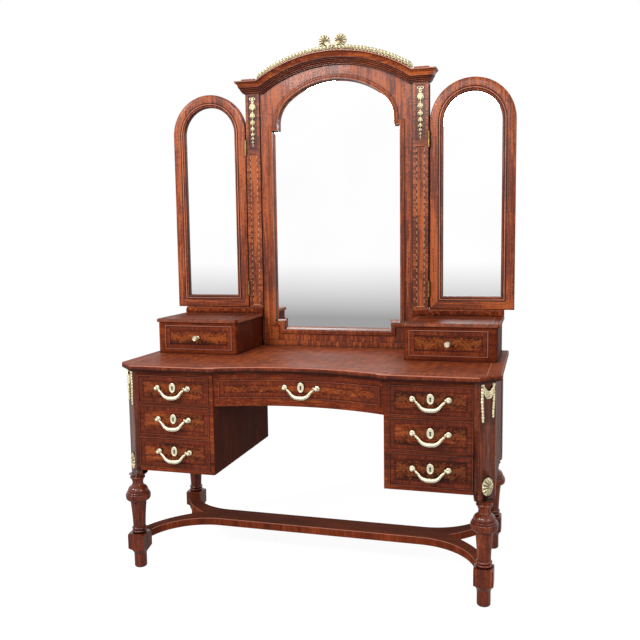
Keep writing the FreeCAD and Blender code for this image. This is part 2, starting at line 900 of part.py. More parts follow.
def stretcher():
    """Centre bar and four curved arms that meet the faces of the leg blocks."""
    half_bar = stretcher_bar_width / 2
    block_face = rear_leg_y - post_width / 2 - stretcher_y
    arm_outer_end = post_inner + stretcher_end_inset
    rise = block_face - half_bar
    radius = stretcher_arm_radius
    arm_start = arm_outer_end - math.sqrt(radius ** 2 - (radius - rise) ** 2)
    fork = arm_start + stretcher_fork_reach
    inner_end = arm_outer_end + stretcher_arm_end
    centre = (arm_start, half_bar + radius)
    turn = math.atan2(arm_outer_end - arm_start, radius - rise) / 2
    outer_mid = (centre[0] + radius * math.sin(turn), centre[1] - radius * math.cos(turn))
    chord = math.dist((fork, 0), (inner_end, block_face))
    normal = (block_face / chord, -(inner_end - fork) / chord)
    inner_mid = (
        (fork + inner_end) / 2 + normal[0] * stretcher_inner_bulge,
        block_face / 2 + normal[1] * stretcher_inner_bulge,
    )
    low = block_top - stretcher_thickness
    arm = [
        (arm_start, 0),
        (fork, 0),
        (inner_mid[0], inner_mid[1], inner_end, block_face),
        (arm_outer_end, block_face),
        (outer_mid[0], outer_mid[1], arm_start, half_bar),
    ]
    solids = []
    for side in (-1, 1):
        steps = [tuple(stretcher_y + side * v if i % 2 else v for i, v in enumerate(step)) for step in arm]
        solids.append(plate(steps, in_plan(low), z=stretcher_thickness))
    bar = board(-arm_start, arm_start, stretcher_y - half_bar, stretcher_y + half_bar, low, block_top)
    return [bar] + on_both_sides(solids)


def jewel_case():
    """Right jewel box: stiles, rails, sides, back, bottom, guide, lid and the rail behind the lid."""
    base = table_height
    front_back = jewel_front + jewel_front_thickness
    inner_edge = jewel_inner + jewel_inner_stile
    outer_edge = jewel_outer - jewel_outer_stile
    radius = jewel_corner_radius
    bevel = radius * (1 - math.sqrt(0.5))
    inner_stile = [
        (jewel_inner, front_back),
        (jewel_inner, jewel_front + radius),
        (jewel_inner + bevel, jewel_front + bevel, jewel_inner + radius, jewel_front),
        (inner_edge, jewel_front),
        (inner_edge, front_back),
    ]
    outer_stile = [
        (jewel_outer, front_back),
        (outer_edge, front_back),
        (outer_edge, jewel_front),
        (jewel_outer - radius, jewel_front),
        (jewel_outer - bevel, jewel_front + bevel, jewel_outer, jewel_front + radius),
    ]
    solids = []
    for steps in (inner_stile, outer_stile):
        solids.append(plate(flatted(steps, jewel_corner_sides), in_plan(base), z=jewel_height))
    floor = base + jewel_bottom_rail
    ceiling = lid_bottom - jewel_top_rail
    back_inner = frame_back - jewel_back_thickness
    side_outer = jewel_outer - jewel_side_thickness
    side_inner = jewel_inner + jewel_side_thickness
    solids += [
        board(inner_edge, outer_edge, jewel_front, front_back, base, floor),
        board(inner_edge, outer_edge, jewel_front, front_back, ceiling, lid_bottom),
        board(jewel_inner, side_inner, front_back, frame_back, base, lid_bottom),
        board(side_outer, jewel_outer, front_back, frame_back, base, lid_bottom),
        board(side_inner, side_outer, back_inner, frame_back, base, lid_bottom),
        board(side_inner, side_outer, front_back, back_inner, floor - jewel_bottom_thickness, floor),
        board(outer_edge, side_outer, front_back, back_inner, floor, floor + guide_height),
        board(side_inner, inner_edge, front_back, back_inner, floor, floor + guide_height),
    ]
    lid_in = jewel_inner - lid_side_overhang
    lid_out = jewel_outer + lid_side_overhang
    lid_front = jewel_front - lid_front_overhang
    curve = radius + lid_front_overhang
    nip = curve * (1 - math.sqrt(0.5))
    lid_steps = [
        (lid_in, frame_back),
        (lid_in, lid_front + curve),
        (lid_in + nip, lid_front + nip, lid_in + curve, lid_front),
        (lid_out - curve, lid_front),
        (lid_out - nip, lid_front + nip, lid_out, lid_front + curve),
        (lid_out, frame_back),
    ]
    lid = plate(flatted(lid_steps, jewel_corner_sides), in_plan(lid_bottom), z=lid_thickness)
    rim = [e for e in edges_at(lid, "z", lid_top) if e.BoundBox.YMin < frame_back - overrun]
    lid = lid.makeChamfer(lid_edge_chamfer, rim)
    rail_front = pilaster_front - back_rail_step_depth
    rail_steps = [
        (frame_back, lid_top),
        (rail_front, lid_top),
        (rail_front, lid_top + back_rail_height - back_rail_step),
        (rail_front + back_rail_step_depth, lid_top + back_rail_height),
        (frame_back, lid_top + back_rail_height),
    ]
    rail = plate(rail_steps, in_side(lid_in), x=back_rail_outer - lid_in)
    return solids + [lid, rail]


def jewel_drawer():
    """Front and box of the right jewel drawer."""
    x0 = jewel_inner + jewel_inner_stile + drawer_side_gap
    x1 = jewel_outer - jewel_outer_stile - drawer_side_gap
    floor = table_height + jewel_bottom_rail
    ceiling = lid_bottom - jewel_top_rail
    z0 = floor + drawer_side_gap
    z1 = ceiling - drawer_side_gap
    back = jewel_front + drawer_front_thickness
    front = [board(x0, x1, jewel_front, back, z0, z1).fuse(bead_frame(x0, x1, z0, z1, jewel_front))]
    box = drawer_box(x0, x1, back, jewel_front + jewel_drawer_length, floor, ceiling)
    return front, box


def knob():
    """Round turned knob on the right jewel drawer."""
    x = (jewel_inner + jewel_inner_stile + jewel_outer - jewel_outer_stile) / 2
    z = (table_height + jewel_bottom_rail + lid_bottom - jewel_top_rail) / 2
    ball = knob_reach - knob_radius
    ball_flat = knob_radius * ball_flat_share
    steps = [
        (knob_base_radius, 0),
        (knob_base_radius, knob_base_thickness / 2),
        (knob_stem_radius, knob_base_thickness),
        (knob_stem_radius, ball - knob_radius),
        (knob_radius, ball - ball_flat),
        (knob_radius, ball + ball_flat),
        (knob_radius / 2, knob_reach),
    ]
    return turned(steps, point(x, jewel_front, z), point(0, -1, 0), small_turning_sides)


def arch_steps(half_width, spring_z, rise, side_radius):
    """Three-centred arch from its right spring over to its left one, as arcs."""
    a = half_width - side_radius
    b = rise - side_radius
    below = (a ** 2 - b ** 2) / (2 * b)
    crown = rise + below
    turn = math.atan2(below, a)
    joint = (a + side_radius * math.cos(turn), spring_z + side_radius * math.sin(turn))
    side_mid = (a + side_radius * math.cos(turn / 2), spring_z + side_radius * math.sin(turn / 2))
    return [
        (side_mid[0], side_mid[1], joint[0], joint[1]),
        (0, spring_z - below + crown, -joint[0], joint[1]),
        (-side_mid[0], side_mid[1], -half_width, spring_z),
    ]


def sight_steps():
    """Outline of the centre mirror's opening, with its bottom notches and its ears."""
    base = table_height
    low = base + sight_bottom
    notch = low + sight_notch_height
    ear = base + sight_ear_height
    spring = base + sight_spring_height
    right = [
        (sight_bottom_half_width, low),
        (sight_bottom_half_width, notch),
        (sight_half_width, notch),
        (sight_half_width, ear),
        (sight_arch_half_width, ear),
        (sight_arch_half_width, spring),
    ]
    left = [(-x, z) for x, z in reversed(right)]
    return right + arch_steps(sight_arch_half_width, spring, sight_arch_rise, sight_arch_side_radius) + left[1:]


def offset_plate(steps, offset, y0, y1):
    """Plate between two depths whose outline is grown outwards, with sharp corners kept."""
    wire = wire_of(steps, in_front(y0))
    if offset != 0:
        wire = wire.makeOffset2D(offset, 2)
    return Part.Face(wire).extrude(point(0, y1 - y0, 0))


def raised_band(steps, width, face_y, proud):
    """Moulding that stands proud of a face round an opening."""
    band = offset_plate(steps, width, face_y - proud, face_y)
    return band.cut(offset_plate(steps, 0, face_y - proud - overrun, face_y + overrun))


def pilaster():
    """Right pilaster: a border round a short upper panel with a round foot and a long lower panel."""
    body = board(frame_half_width, pilaster_outer, pilaster_front, frame_back, pilaster_bottom, pilaster_top)
    x0 = frame_half_width + pilaster_border
    x1 = pilaster_outer - pilaster_border
    middle = (x0 + x1) / 2
    upper_top = pilaster_top - pilaster_border / 2
    upper_foot = pilaster_top - pilaster_drop_length
    upper = [
        (x0, upper_top),
        (x0, upper_foot + (x1 - x0) / 2),
        (middle, upper_foot, x1, upper_foot + (x1 - x0) / 2),
        (x1, upper_top),
    ]
    lower_top = upper_foot - pilaster_band
    lower = [
        (x0, lower_top),
        (x0, pilaster_bottom + pilaster_border),
        (x1, pilaster_bottom + pilaster_border),
        (x1, lower_top),
    ]
    for steps in (upper, lower):
        steps = flatted(steps, panel_foot_sides)
        recess = plate(steps, in_front(pilaster_front - overrun), y=overrun + pilaster_recess)
        body = body.cut(recess)
    return body


def frame_outline():
    """Outline of the centre mirror's board, which ends in an arch under the cornice."""
    head = arch_radius - cornice_lip
    shoulder = arch_centre_z + math.sqrt(head ** 2 - frame_half_width ** 2)
    return [
        (-frame_half_width, table_height),
        (frame_half_width, table_height),
        (frame_half_width, shoulder),
        (0, arch_centre_z + head, -frame_half_width, shoulder),
    ]


def mirror_frame():
    """Arched board with its opening, rebate and moulding, a foot rail, and the two pilasters."""
    sight = sight_steps()
    frame = plate(frame_outline(), in_front(frame_front), y=frame_thickness)
    frame = frame.cut(offset_plate(sight, 0, frame_front - overrun, frame_back + overrun))
    rebate = flatted(sight, rebate_sides)
    frame = frame.cut(offset_plate(rebate, frame_rebate, frame_front + glass_setback, frame_back + overrun))
    moulding = raised_band(sight, moulding_width, frame_front, moulding_proud)
    rail = board(
        -frame_half_width,
        frame_half_width,
        frame_front - foot_rail_proud,
        frame_front,
        table_height,
        table_height + foot_rail_height,
    )
    top_edge = [e for e in edges_at(rail, "z", table_height + foot_rail_height) if e.BoundBox.YMax < frame_front]
    rail = rail.makeChamfer(foot_rail_chamfer, top_edge)
    return [frame.fuse(moulding), rail] + on_both_sides([pilaster()])


def mirror_glass():
    steps = flatted(sight_steps(), rebate_sides)
    face = frame_front + glass_setback
    return offset_plate(steps, frame_rebate - glass_gap, face, face + glass_thickness)


def mirror_backboard():
    steps = flatted(sight_steps(), rebate_sides)
    face = frame_front + glass_setback + glass_thickness
    return offset_plate(steps, frame_rebate - glass_gap, face, frame_back)


def cornice_profile(face, sign):
    """Moulding outline: distance out from a face and depth below the cornice's top."""
    return [
        (face + sign * cornice_reach, 0),
        (face + sign * cornice_reach, -cornice_lip),
        (face + sign * cornice_neck_reach, -cornice_neck_height),
        (face + sign * cornice_band_reach, -cornice_band_height),
        (face + sign * cornice_foot_reach, -cornice_height),
    ]


def cornice():
    """Arched moulding mitred into short level ends that return round the pilasters."""
    inner_radius = arch_radius - cornice_height
    mitre_top = arch_half_chord
    mitre_foot = math.sqrt(inner_radius ** 2 - (cornice_z - cornice_height - arch_centre_z) ** 2)
    slope = (mitre_top - mitre_foot) / cornice_height
    high = mitre_top + slope * cornice_height
    low = mitre_foot - slope * cornice_height
    front = cornice_profile(pilaster_front, -1)
    arch_profile = [(frame_front, -cornice_height), (frame_front, -cornice_lip), (frame_back, -cornice_lip), (frame_back, 0)]
    arch_profile += front
    arch_face = Part.Face(wire_of(arch_profile, lambda y, d: point(arch_radius + d, y, arch_centre_z)))
    sweep = arch_face.revolve(point(0, 0, arch_centre_z), point(0, 1, 0), -180)
    sweep_zone = plate(
        [
            (-low, cornice_z - 2 * cornice_height),
            (low, cornice_z - 2 * cornice_height),
            (mitre_top, cornice_z),
            (high, cornice_z + cornice_height),
            (high, table_height + arch_apex + overrun),
            (-high, table_height + arch_apex + overrun),
            (-high, cornice_z + cornice_height),
            (-mitre_top, cornice_z),
        ],
        in_front(pilaster_front - 2 * cornice_reach),
        y=4 * cornice_reach + frame_thickness,
    )
    arch = sweep.common(sweep_zone)
    end_steps = [(frame_back, cornice_z - cornice_height), (frame_back, cornice_z)]
    end_steps += [shifted(step) for step in front]
    end = plate(end_steps, in_side(0), x=pilaster_outer + 2 * cornice_reach)
    side_steps = [(mitre_foot, cornice_z - cornice_height), (mitre_top, cornice_z)]
    side_steps += [shifted(step) for step in cornice_profile(pilaster_outer, 1)]
    side = plate(side_steps, in_front(pilaster_front - 2 * cornice_reach), y=4 * cornice_reach + frame_thickness)
    end = end.common(side).cut(plate(frame_outline(), in_front(frame_front), y=frame_thickness))
    cap = board(
        mitre_top + cap_board_inset,
        cap_board_outer,
        frame_back - cap_board_depth,
        frame_back,
        cornice_z,
        cornice_z + cap_board_thickness,
    )
    whole = arch.fuse(on_both_sides([end]))
    return [whole] + on_both_sides([cap])


def shifted(step):
    """A profile step with its depths below the cornice's top turned into heights."""
    return tuple(value + cornice_z if index % 2 else value for index, value in enumerate(step))


def around(centre, radius, angle):
    """Point of an outline at an angle round a centre."""
    return (centre[0] + radius * math.cos(angle), centre[1] + radius * math.sin(angle))


def garland_and_bow():
    """Laurel garland along the arch and a two-looped ribbon bow at its top."""
    front = pilaster_front - cornice_reach + garland_front
    middle = front + garland_width / 2
    profile = [
        (front, 0),
        (middle - garland_crown / 2, garland_height),
        (middle + garland_crown / 2, garland_height),
        (front + garland_width, 0),
    ]
    face = Part.Face(wire_of(profile, lambda y, d: point(arch_radius + d, y, arch_centre_z)))
    turn = math.degrees(math.asin(garland_end / arch_radius))
    garland = face.revolve(point(0, 0, arch_centre_z), point(0, 1, 0), -2 * turn)
    garland.rotate(point(0, 0, arch_centre_z), point(0, 1, 0), -(90 - turn))
    foot = table_height + arch_apex + bow_gap + bow_knot_radius
    start = math.radians(bow_loop_start)
    lobe_turn = math.radians(bow_loop_end - bow_loop_start) / bow_loop_lobes
    centre = (bow_loop_out, foot + bow_loop_up)
    swell = bow_loop_radius + bow_lobe_bulge
    steps = [(0, foot), around(centre, bow_loop_radius, start)]
    for index in range(bow_loop_lobes):
        angle = start + lobe_turn * index
        steps.append(around(centre, swell, angle + lobe_turn / 2))
        steps.append(around(centre, bow_loop_radius, angle + lobe_turn))
    loop = plate(steps, in_front(middle - bow_thickness / 2), y=bow_thickness)
    knot_flat = bow_knot_radius * ball_flat_share
    knot_steps = [
        (bow_knot_radius / 2, 0),
        (bow_knot_radius, bow_knot_radius - knot_flat),
        (bow_knot_radius, bow_knot_radius + knot_flat),
        (bow_knot_radius / 2, 2 * bow_knot_radius),
    ]
    knot = turned(knot_steps, point(0, middle + bow_knot_radius, foot), point(0, -1, 0), small_turning_sides)
    bow = knot.fuse(on_both_sides([loop]))
    return [garland.fuse(bow)]


def wing_outline(inset):
    """Round-arched outline of the right side mirror, drawn in by an inset."""
    radius = wing_radius - inset
    steps = [
        (wing_x - radius, wing_z + inset),
        (wing_x + radius, wing_z + inset),
        (wing_x + radius, wing_spring),
        (wing_x, wing_spring + radius, wing_x - radius, wing_spring),
    ]
    return flatted(steps, wing_arch_sides)


def wing_frame():
    """Frame of the right side mirror with its rebate and raised bead."""
    back = frame_front + wing_thickness
    sight = wing_outline(wing_border)
    frame = plate(wing_outline(0), in_front(frame_front), y=wing_thickness)
    frame = frame.cut(plate(sight, in_front(frame_front - overrun), y=back - frame_front + 2 * overrun))
    rebate_front = frame_front + wing_glass_setback
    frame = frame.cut(plate(wing_outline(wing_border - frame_rebate), in_front(rebate_front), y=wing_thickness))
    bead = plate(wing_outline(wing_border - wing_bead_width), in_front(frame_front - wing_bead_proud), y=wing_bead_proud)
    bead = bead.cut(plate(sight, in_front(frame_front - overrun), y=2 * overrun))
    return [frame.fuse(bead)]


def wing_panel(face, back):
    return plate(wing_outline(wing_border - frame_rebate + glass_gap), in_front(face), y=back - face)


def hinge_parts():
    """Fixed leaves with pins, and moving leaves, of the right side mirror's two hinges."""
    fixed = []
    moving = []
    back = hinge_y + hinge_leaf_depth
    middle = hinge_half_length * hinge_middle_share
    fixed_x = pilaster_outer
    moving_x = wing_inner - hinge_leaf_thickness
    clear_x = moving_x - hinge_leaf_thickness - 2 * hinge_knuckle_radius
    barrel_steps = [(hinge_knuckle_radius, -hinge_half_length), (hinge_knuckle_radius, hinge_half_length)]
    for height in hinge_heights:
        z = table_height + height
        axis = point(hinge_x, hinge_y, z)
        up = point(0, 0, 1)
        leaf = board(fixed_x, fixed_x + hinge_leaf_thickness, hinge_y, back, z - hinge_half_length, z + hinge_half_length)
        barrel = turned(barrel_steps, axis, up, small_turning_sides)
        gap = middle + hinge_knuckle_gap
        space = board(
            clear_x,
            hinge_x + 2 * hinge_knuckle_radius,
            hinge_y - 2 * hinge_knuckle_radius,
            hinge_y + hinge_knuckle_radius + hinge_front_gap,
            z - gap,
            z + gap,
        )
        foot = axis - up * hinge_half_length
        fixed.append(leaf.fuse(barrel).cut(space).fuse(pin(hinge_pin_radius, foot, up, 2 * hinge_half_length)))
        leaf = board(moving_x, wing_inner, hinge_y, back, z - hinge_half_length, z + hinge_half_length)
        over_radius = hinge_knuckle_radius + hinge_knuckle_gap
        over_half = hinge_half_length + overrun
        over = turned([(over_radius, -over_half), (over_radius, over_half)], axis, up, small_turning_sides)
        barrel = turned([(hinge_knuckle_radius, -middle), (hinge_knuckle_radius, middle)], axis, up, small_turning_sides)
        bore = pin_hole(hinge_pin_radius + hinge_pin_clearance, axis - up * gap, up, 2 * gap)
        tongue = board(moving_x, wing_inner, hinge_y, hinge_y + 2 * hinge_knuckle_radius, z - middle, z + middle)
        moving.append(leaf.cut(over).fuse([barrel, tongue]).cut(bore))
    return fixed, moving


def on_cant(shape):
    """Moves a mount drawn flat, with X along the face and -Y out of it, onto the right post's cant."""
    shape.rotate(point(0, 0, 0), point(0, 0, 1), 45)
    shape.translate(point(post_outer - post_cant, case_front, 0))
    return shape


def swag():
    """Draped swag between two bosses with a hanging tail under each."""
    middle = post_cant / math.sqrt(2)
    top = case_top - swag_top_drop
    left = middle - swag_spread
    right = middle + swag_spread
    width = swag_tail_width
    lowest = (middle, top - swag_depth)
    waist = (middle, top - swag_depth + swag_waist)
    tail_low = top - swag_tail_length
    half_tip = swag_tail_tip / 2
    tail_side = (right - width / 2, lowest[1])
    right_half = [
        (right + width / 2, top),
        (right + half_tip, tail_low),
        (right - half_tip, tail_low),
        tail_side,
    ] + quarter(tail_side, lowest, (middle, tail_side[1] + swag_waist), swag_steps)
    inner = [(right - width / 2, top)] + quarter((right - width / 2, top), waist, (middle, top), swag_steps)
    outline = right_half + [(2 * middle - x, z) for x, z in right_half[-2::-1]]
    outline += [(2 * middle - x, z) for x, z in inner] + inner[-2::-1]
    drape = plate(outline, in_front(-swag_thickness), y=swag_thickness)
    pieces = []
    for x in (left, right):
        boss = [(swag_boss_radius, 0), (swag_boss_radius, swag_thickness), (swag_boss_radius / 2, swag_boss_thickness)]
        pieces.append(turned(boss, point(x, 0, top), point(0, -1, 0), small_turning_sides))
    return on_cant(drape.fuse(pieces))


def shell():
    """Oval fluted shell on the foot of the canted face."""
    middle = post_cant / math.sqrt(2)
    steps = []
    for index in range(2 * shell_lobes):
        angle = math.pi * index / shell_lobes
        inset = shell_lobe_bulge * (index % 2)
        steps.append(
            (
                middle + (shell_half_width - inset) * math.cos(angle),
                shell_centre_height + (shell_half_height - inset) * math.sin(angle),
            )
        )
    disc = plate(steps, in_front(-shell_thickness), y=shell_thickness)
    boss_radius = shell_half_width * shell_boss_share
    boss = [(boss_radius, 0), (boss_radius, shell_thickness), (boss_radius / 2, shell_boss_thickness)]
    hub = turned(boss, point(middle, 0, shell_centre_height), point(0, -1, 0), small_turning_sides)
    return on_cant(disc.fuse(hub))


def husk_drop():
    """String of husks hanging in the pilaster's upper panel."""
    x = (frame_half_width + pilaster_outer) / 2
    face = pilaster_front + pilaster_recess
    z = pilaster_top - pilaster_border / 2 - husk_top_gap
    side = []
    for half_width, half_height in zip(husk_half_widths, husk_half_heights):
        side.append((half_width * husk_shoulder_share, z))
        side.append((half_width, z - half_height * husk_shoulder_share))
        z -= 2 * half_height - husk_overlap
    right = [(x + out, level) for out, level in side] + [(x, z)]
    left = [(x - out, level) for out, level in reversed(side)]
    return plate(right + left, in_front(face - husk_thickness), y=husk_thickness)


def build():
    """Every piece of the table by its node name."""
    nodes = {
        "top_slab": [top_slab()],
        "centre_frieze_case": frieze(),
        "stretcher": stretcher(),
        "mirror_frame": mirror_frame(),
        "mirror_glass": [mirror_glass()],
        "mirror_backboard": [mirror_backboard()],
        "cornice": cornice(),
        "gilt_crest": garland_and_bow(),
        "gilt_mounts": on_both_sides([swag(), shell(), husk_drop()]),
    }

    def both(name, solids):
        nodes["right_" + name] = solids
        nodes["left_" + name] = [mirrored(solid) for solid in solids]

    both("pedestal_case", pedestal_case())
    both("front_leg", [leg(front_leg_y, True)])
    both("rear_leg", [leg(rear_leg_y, False)])
    both("jewel_case", jewel_case())
    both("wing_frame", wing_frame())
    glass_face = frame_front + wing_glass_setback
    glass_back = glass_face + glass_thickness
    both("wing_glass", [wing_panel(glass_face, glass_back)])
    both("wing_backboard", [wing_panel(glass_back, frame_front + wing_thickness)])

    fixed, moving = hinge_parts()
    nodes["hinge_fixed_leaves"] = on_both_sides(fixed)
    both("wing_hinge_leaves", moving)

    front, box = jewel_drawer()
    both("jewel_drawer_front", front + [knob()])
    both("jewel_drawer_box", box)

    middle_x = (opening_inner + opening_outer) / 2
    levels = {
        "upper": (upper_floor, upper_opening),
        "middle": (middle_floor, middle_opening),
        "lower": (lower_floor, lower_opening),
    }
    for level, (floor, opening) in levels.items():
        front, box = pedestal_drawer(floor, opening)
        centre = floor + opening / 2
        both(level + "_drawer_front", front)
        both(level + "_drawer_box", box)
        both(level + "_drawer_fittings", fittings(middle_x, centre, flat_front))
        both(level + "_drawer_bail", [bail(middle_x, centre, flat_front)])

    front, box = centre_drawer()
    centre = (frieze_floor + frieze_ceiling) / 2
    nodes["centre_drawer_front"] = front
    nodes["centre_drawer_box"] = box
    nodes["centre_drawer_fittings"] = fittings(0, centre, frieze_curve)
    nodes["centre_drawer_bail"] = [bail(0, centre, frieze_curve)]
    return nodes


def main():
    os.makedirs("parts", exist_ok=True)
    nodes = build()
    for name, solids in nodes.items():
        shape = solids[0] if len(solids) == 1 else group(solids)
        shape.exportStep("parts/" + name + ".step")
        print(name, len(shape.Solids), "solids", "valid" if shape.isValid() else "INVALID")
    print(len(nodes), "nodes")


main()
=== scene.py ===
"""Dressing table with three mirrors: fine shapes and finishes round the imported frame."""

import math

import bmesh
import bpy
from mathutils import Matrix, Vector


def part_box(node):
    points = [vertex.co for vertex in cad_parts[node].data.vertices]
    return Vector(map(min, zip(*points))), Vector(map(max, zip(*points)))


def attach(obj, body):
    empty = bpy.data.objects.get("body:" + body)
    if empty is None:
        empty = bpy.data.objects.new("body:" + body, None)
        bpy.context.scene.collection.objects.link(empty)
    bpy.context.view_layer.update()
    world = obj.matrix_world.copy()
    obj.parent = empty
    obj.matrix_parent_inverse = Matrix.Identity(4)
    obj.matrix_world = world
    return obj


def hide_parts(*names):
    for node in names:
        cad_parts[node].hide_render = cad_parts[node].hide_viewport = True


bl_info = {
    "name": "Dressing table with three mirrors",
    "version": (1, 0, 0),
    "blender": (4, 5, 0),
    "location": "View3D > Sidebar > Dressing table",
    "description": "Turned legs, mouldings, gilt mounts, marquetry and lighting of a dressing table",
    "category": "Object",
}

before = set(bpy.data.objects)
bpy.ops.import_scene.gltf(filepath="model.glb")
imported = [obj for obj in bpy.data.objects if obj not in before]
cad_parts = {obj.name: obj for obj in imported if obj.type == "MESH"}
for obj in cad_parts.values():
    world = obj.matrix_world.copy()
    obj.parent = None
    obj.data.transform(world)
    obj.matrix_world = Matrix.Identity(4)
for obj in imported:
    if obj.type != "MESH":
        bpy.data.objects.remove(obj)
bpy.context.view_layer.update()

MM = 0.001
FORWARD = Vector((0, -1, 0))
SIDES = {"right": 1, "left": -1}

# Places of the table in metres, on its right side
# Pedestal drawers: height of the middle and half height of each front
LEVELS = {"upper": (0.673, 0.050), "middle": (0.5615, 0.0535), "lower": (0.445, 0.055)}
DRAWER_X = 0.45175
DRAWER_HALF = 0.13575
DRAWER_FACE = -0.2815
CENTRE_DRAWER_Z = 0.680
CENTRE_FACE = -0.215
LEG_X = 0.621
FRONT_LEG_Y = -0.246
REAR_LEG_Y = 0.240
POST_HALF = 0.0325
POST_FOOT = 0.350
# Ends of the canted face of a front post, in plan
CANT = ((0.606, -0.2785), (0.6535, -0.231))
# How far back the cockbead of a base drawer reaches
BEAD_BACK = -0.19
TOP_HALF = 0.671
TOP_FRONT = -0.304
KNOB_X = 0.47525
KNOB_Z = 0.8225
FRAME_HALF = 0.308
PILASTER_X = 0.3375
PILASTER_OUTER = 0.367
PILASTER_FACE = 0.269
ARCH_Z = 1.346
CORNICE_RADIUS = 0.566
CORNICE_TOP = 1.820
WING_X = 0.531
WING_RADIUS = 0.159
WING_FOOT = 0.917
WING_SPRING = 1.623


def srgb(red, green, blue):
    """Linear colour of a display colour from 0 to 255."""
    def linear(value):
        value /= 255
        return value / 12.92 if value <= 0.04045 else ((value + 0.055) / 1.055) ** 2.4
    return (linear(red), linear(green), linear(blue), 1.0)


def colour_property(name, description, red, green, blue):
    return bpy.props.FloatVectorProperty(
        name=name, description=description, default=srgb(red, green, blue),
        subtype="COLOR", size=4, min=0, max=1,
    )


def length_property(name, description, millimetres):
    return bpy.props.FloatProperty(
        name=name, description=description, default=millimetres * MM, unit="LENGTH", min=0, precision=4,
    )


def factor_property(name, description, default):
    return bpy.props.FloatProperty(
        name=name, description=description, default=default, subtype="FACTOR", min=0, max=1,
    )


def power_property(name, description, watts):
    return bpy.props.FloatProperty(name=name, description=description, default=watts, unit="POWER")


class TableWoods(bpy.types.PropertyGroup):
    """Colours of the veneers and the solid wood."""

    dark: colour_property("Dark mahogany", "Darkest streaks of the red-brown wood", 44, 14, 9)
    middle: colour_property("Mahogany", "Main red-brown of the wood", 102, 39, 17)
    light: colour_property("Light mahogany", "Lightest, orange figure of the wood", 168, 84, 35)
    band: colour_property("Crossbanding", "Veneer laid across the edges of the panels", 118, 54, 34)
    rose: colour_property("Rosy mahogany", "Paler, pinkish wood of the mirror frames", 164, 88, 62)
    leaf: colour_property("Inlaid leaves", "Orange leaves let into the drawer fronts", 204, 116, 54)
    line: colour_property("Stringing", "Light inlaid lines", 205, 158, 122)
    # Dark inlay; the same colour is also used as painted shade in the grooves of the mouldings
    inlay_and_groove_shade: colour_property("Dark inlay", "Dark lines and leaves let into the veneer", 52, 20, 16)
    # Painted highlight: this light colour is laid along top edges, cockbeads, beads and fillets
    arris: colour_property("Edge highlight", "Painted highlight along the edges, beads and fillets", 188, 128, 108)
    lining: colour_property("Drawer lining", "Sides and bottoms of the drawers", 176, 132, 88)
    back: colour_property("Back boards", "Plain wood of the hidden boards", 120, 78, 50)
    gloss: factor_property("Polish", "Coat of polish over the flat wood", 0.06)
    turned_gloss: factor_property("Polish of the legs", "Coat of polish over the turned wood", 0.65)


class TableMetals(bpy.types.PropertyGroup):
    """Colours of the gilt mounts, the hinges and the mirrors."""

    gilt: colour_property("Gilding", "Cream-gold face of the mounts", 244, 236, 204)
    # Painted shade in the hollows of the gilding, and real tarnish spots on the hinge brass
    hollow_shade_and_tarnish: colour_property("Gilding in the hollows", "Olive-brown painted shade in the hollows of the mounts, and tarnish on the brass", 84, 66, 34)
    brass: colour_property("Hinge brass", "Aged brass of the hinges and locks", 150, 118, 66)
    chased: colour_property("Chased gilding", "Warmer gold of the garland, the bow and the husks", 244, 230, 188)
    silver: colour_property("Silvering", "Tint of the mirror plates", 255, 255, 255)
    bevel_width: length_property("Glass bevel", "Width of the bevel round the centre mirror", 11)
    bevel_fall: length_property("Bevel depth", "How far the bevel falls at the edge of the glass", 1.0)


class TableTurnings(bpy.types.PropertyGroup):
    """Sizes of the turned legs."""

    steps: bpy.props.IntProperty(name="Turning steps", description="Faces round a turned leg", default=96, min=24)
    block_half: length_property("Block half width", "Half the width of the square block", 32)
    eased_corner: length_property("Eased corner", "Distance from the axis to the eased corner of a block", 44.6)


class TableStage(bpy.types.PropertyGroup):
    """Light and floor."""

    key_power: power_property("Key lamps", "Power of each of the two large lamps on the left", 64)
    fill_power: power_property("Fill lamp", "Power of the lamp on the right", 32)
    window_power: power_property("Window lamp", "Power of the lamp that lights the right of the mirror frame", 26)
    room_level: bpy.props.FloatProperty(
        name="Room light", description="Strength of the even light of the room", default=0.41
    )
    floor: colour_property("Floor", "Pale studio floor", 255, 255, 255)


class TableSettings(bpy.types.PropertyGroup):
    """All settings of the dressing table."""

    woods: bpy.props.PointerProperty(type=TableWoods)
    metals: bpy.props.PointerProperty(type=TableMetals)
    turnings: bpy.props.PointerProperty(type=TableTurnings)
    stage: bpy.props.PointerProperty(type=TableStage)


def settings():
    return bpy.context.scene.dressing_table


class Value:
    """A socket of a shader tree that takes part in ordinary arithmetic."""

    def __init__(self, sketch, socket):
        self.sketch = sketch
        self.socket = socket

    def __add__(self, other):
        return self.sketch.maths("ADD", self, other)

    def __sub__(self, other):
        return self.sketch.maths("SUBTRACT", self, other)

    def __rsub__(self, other):
        return self.sketch.maths("SUBTRACT", other, self)

    def __mul__(self, other):
        return self.sketch.maths("MULTIPLY", self, other)

    def __truediv__(self, other):
        return self.sketch.maths("DIVIDE", self, other)

    def __rtruediv__(self, other):
        return self.sketch.maths("DIVIDE", other, self)

    def __mod__(self, other):
        return self.sketch.maths("MODULO", self, other)

    def __abs__(self):
        return self.sketch.maths("ABSOLUTE", self)


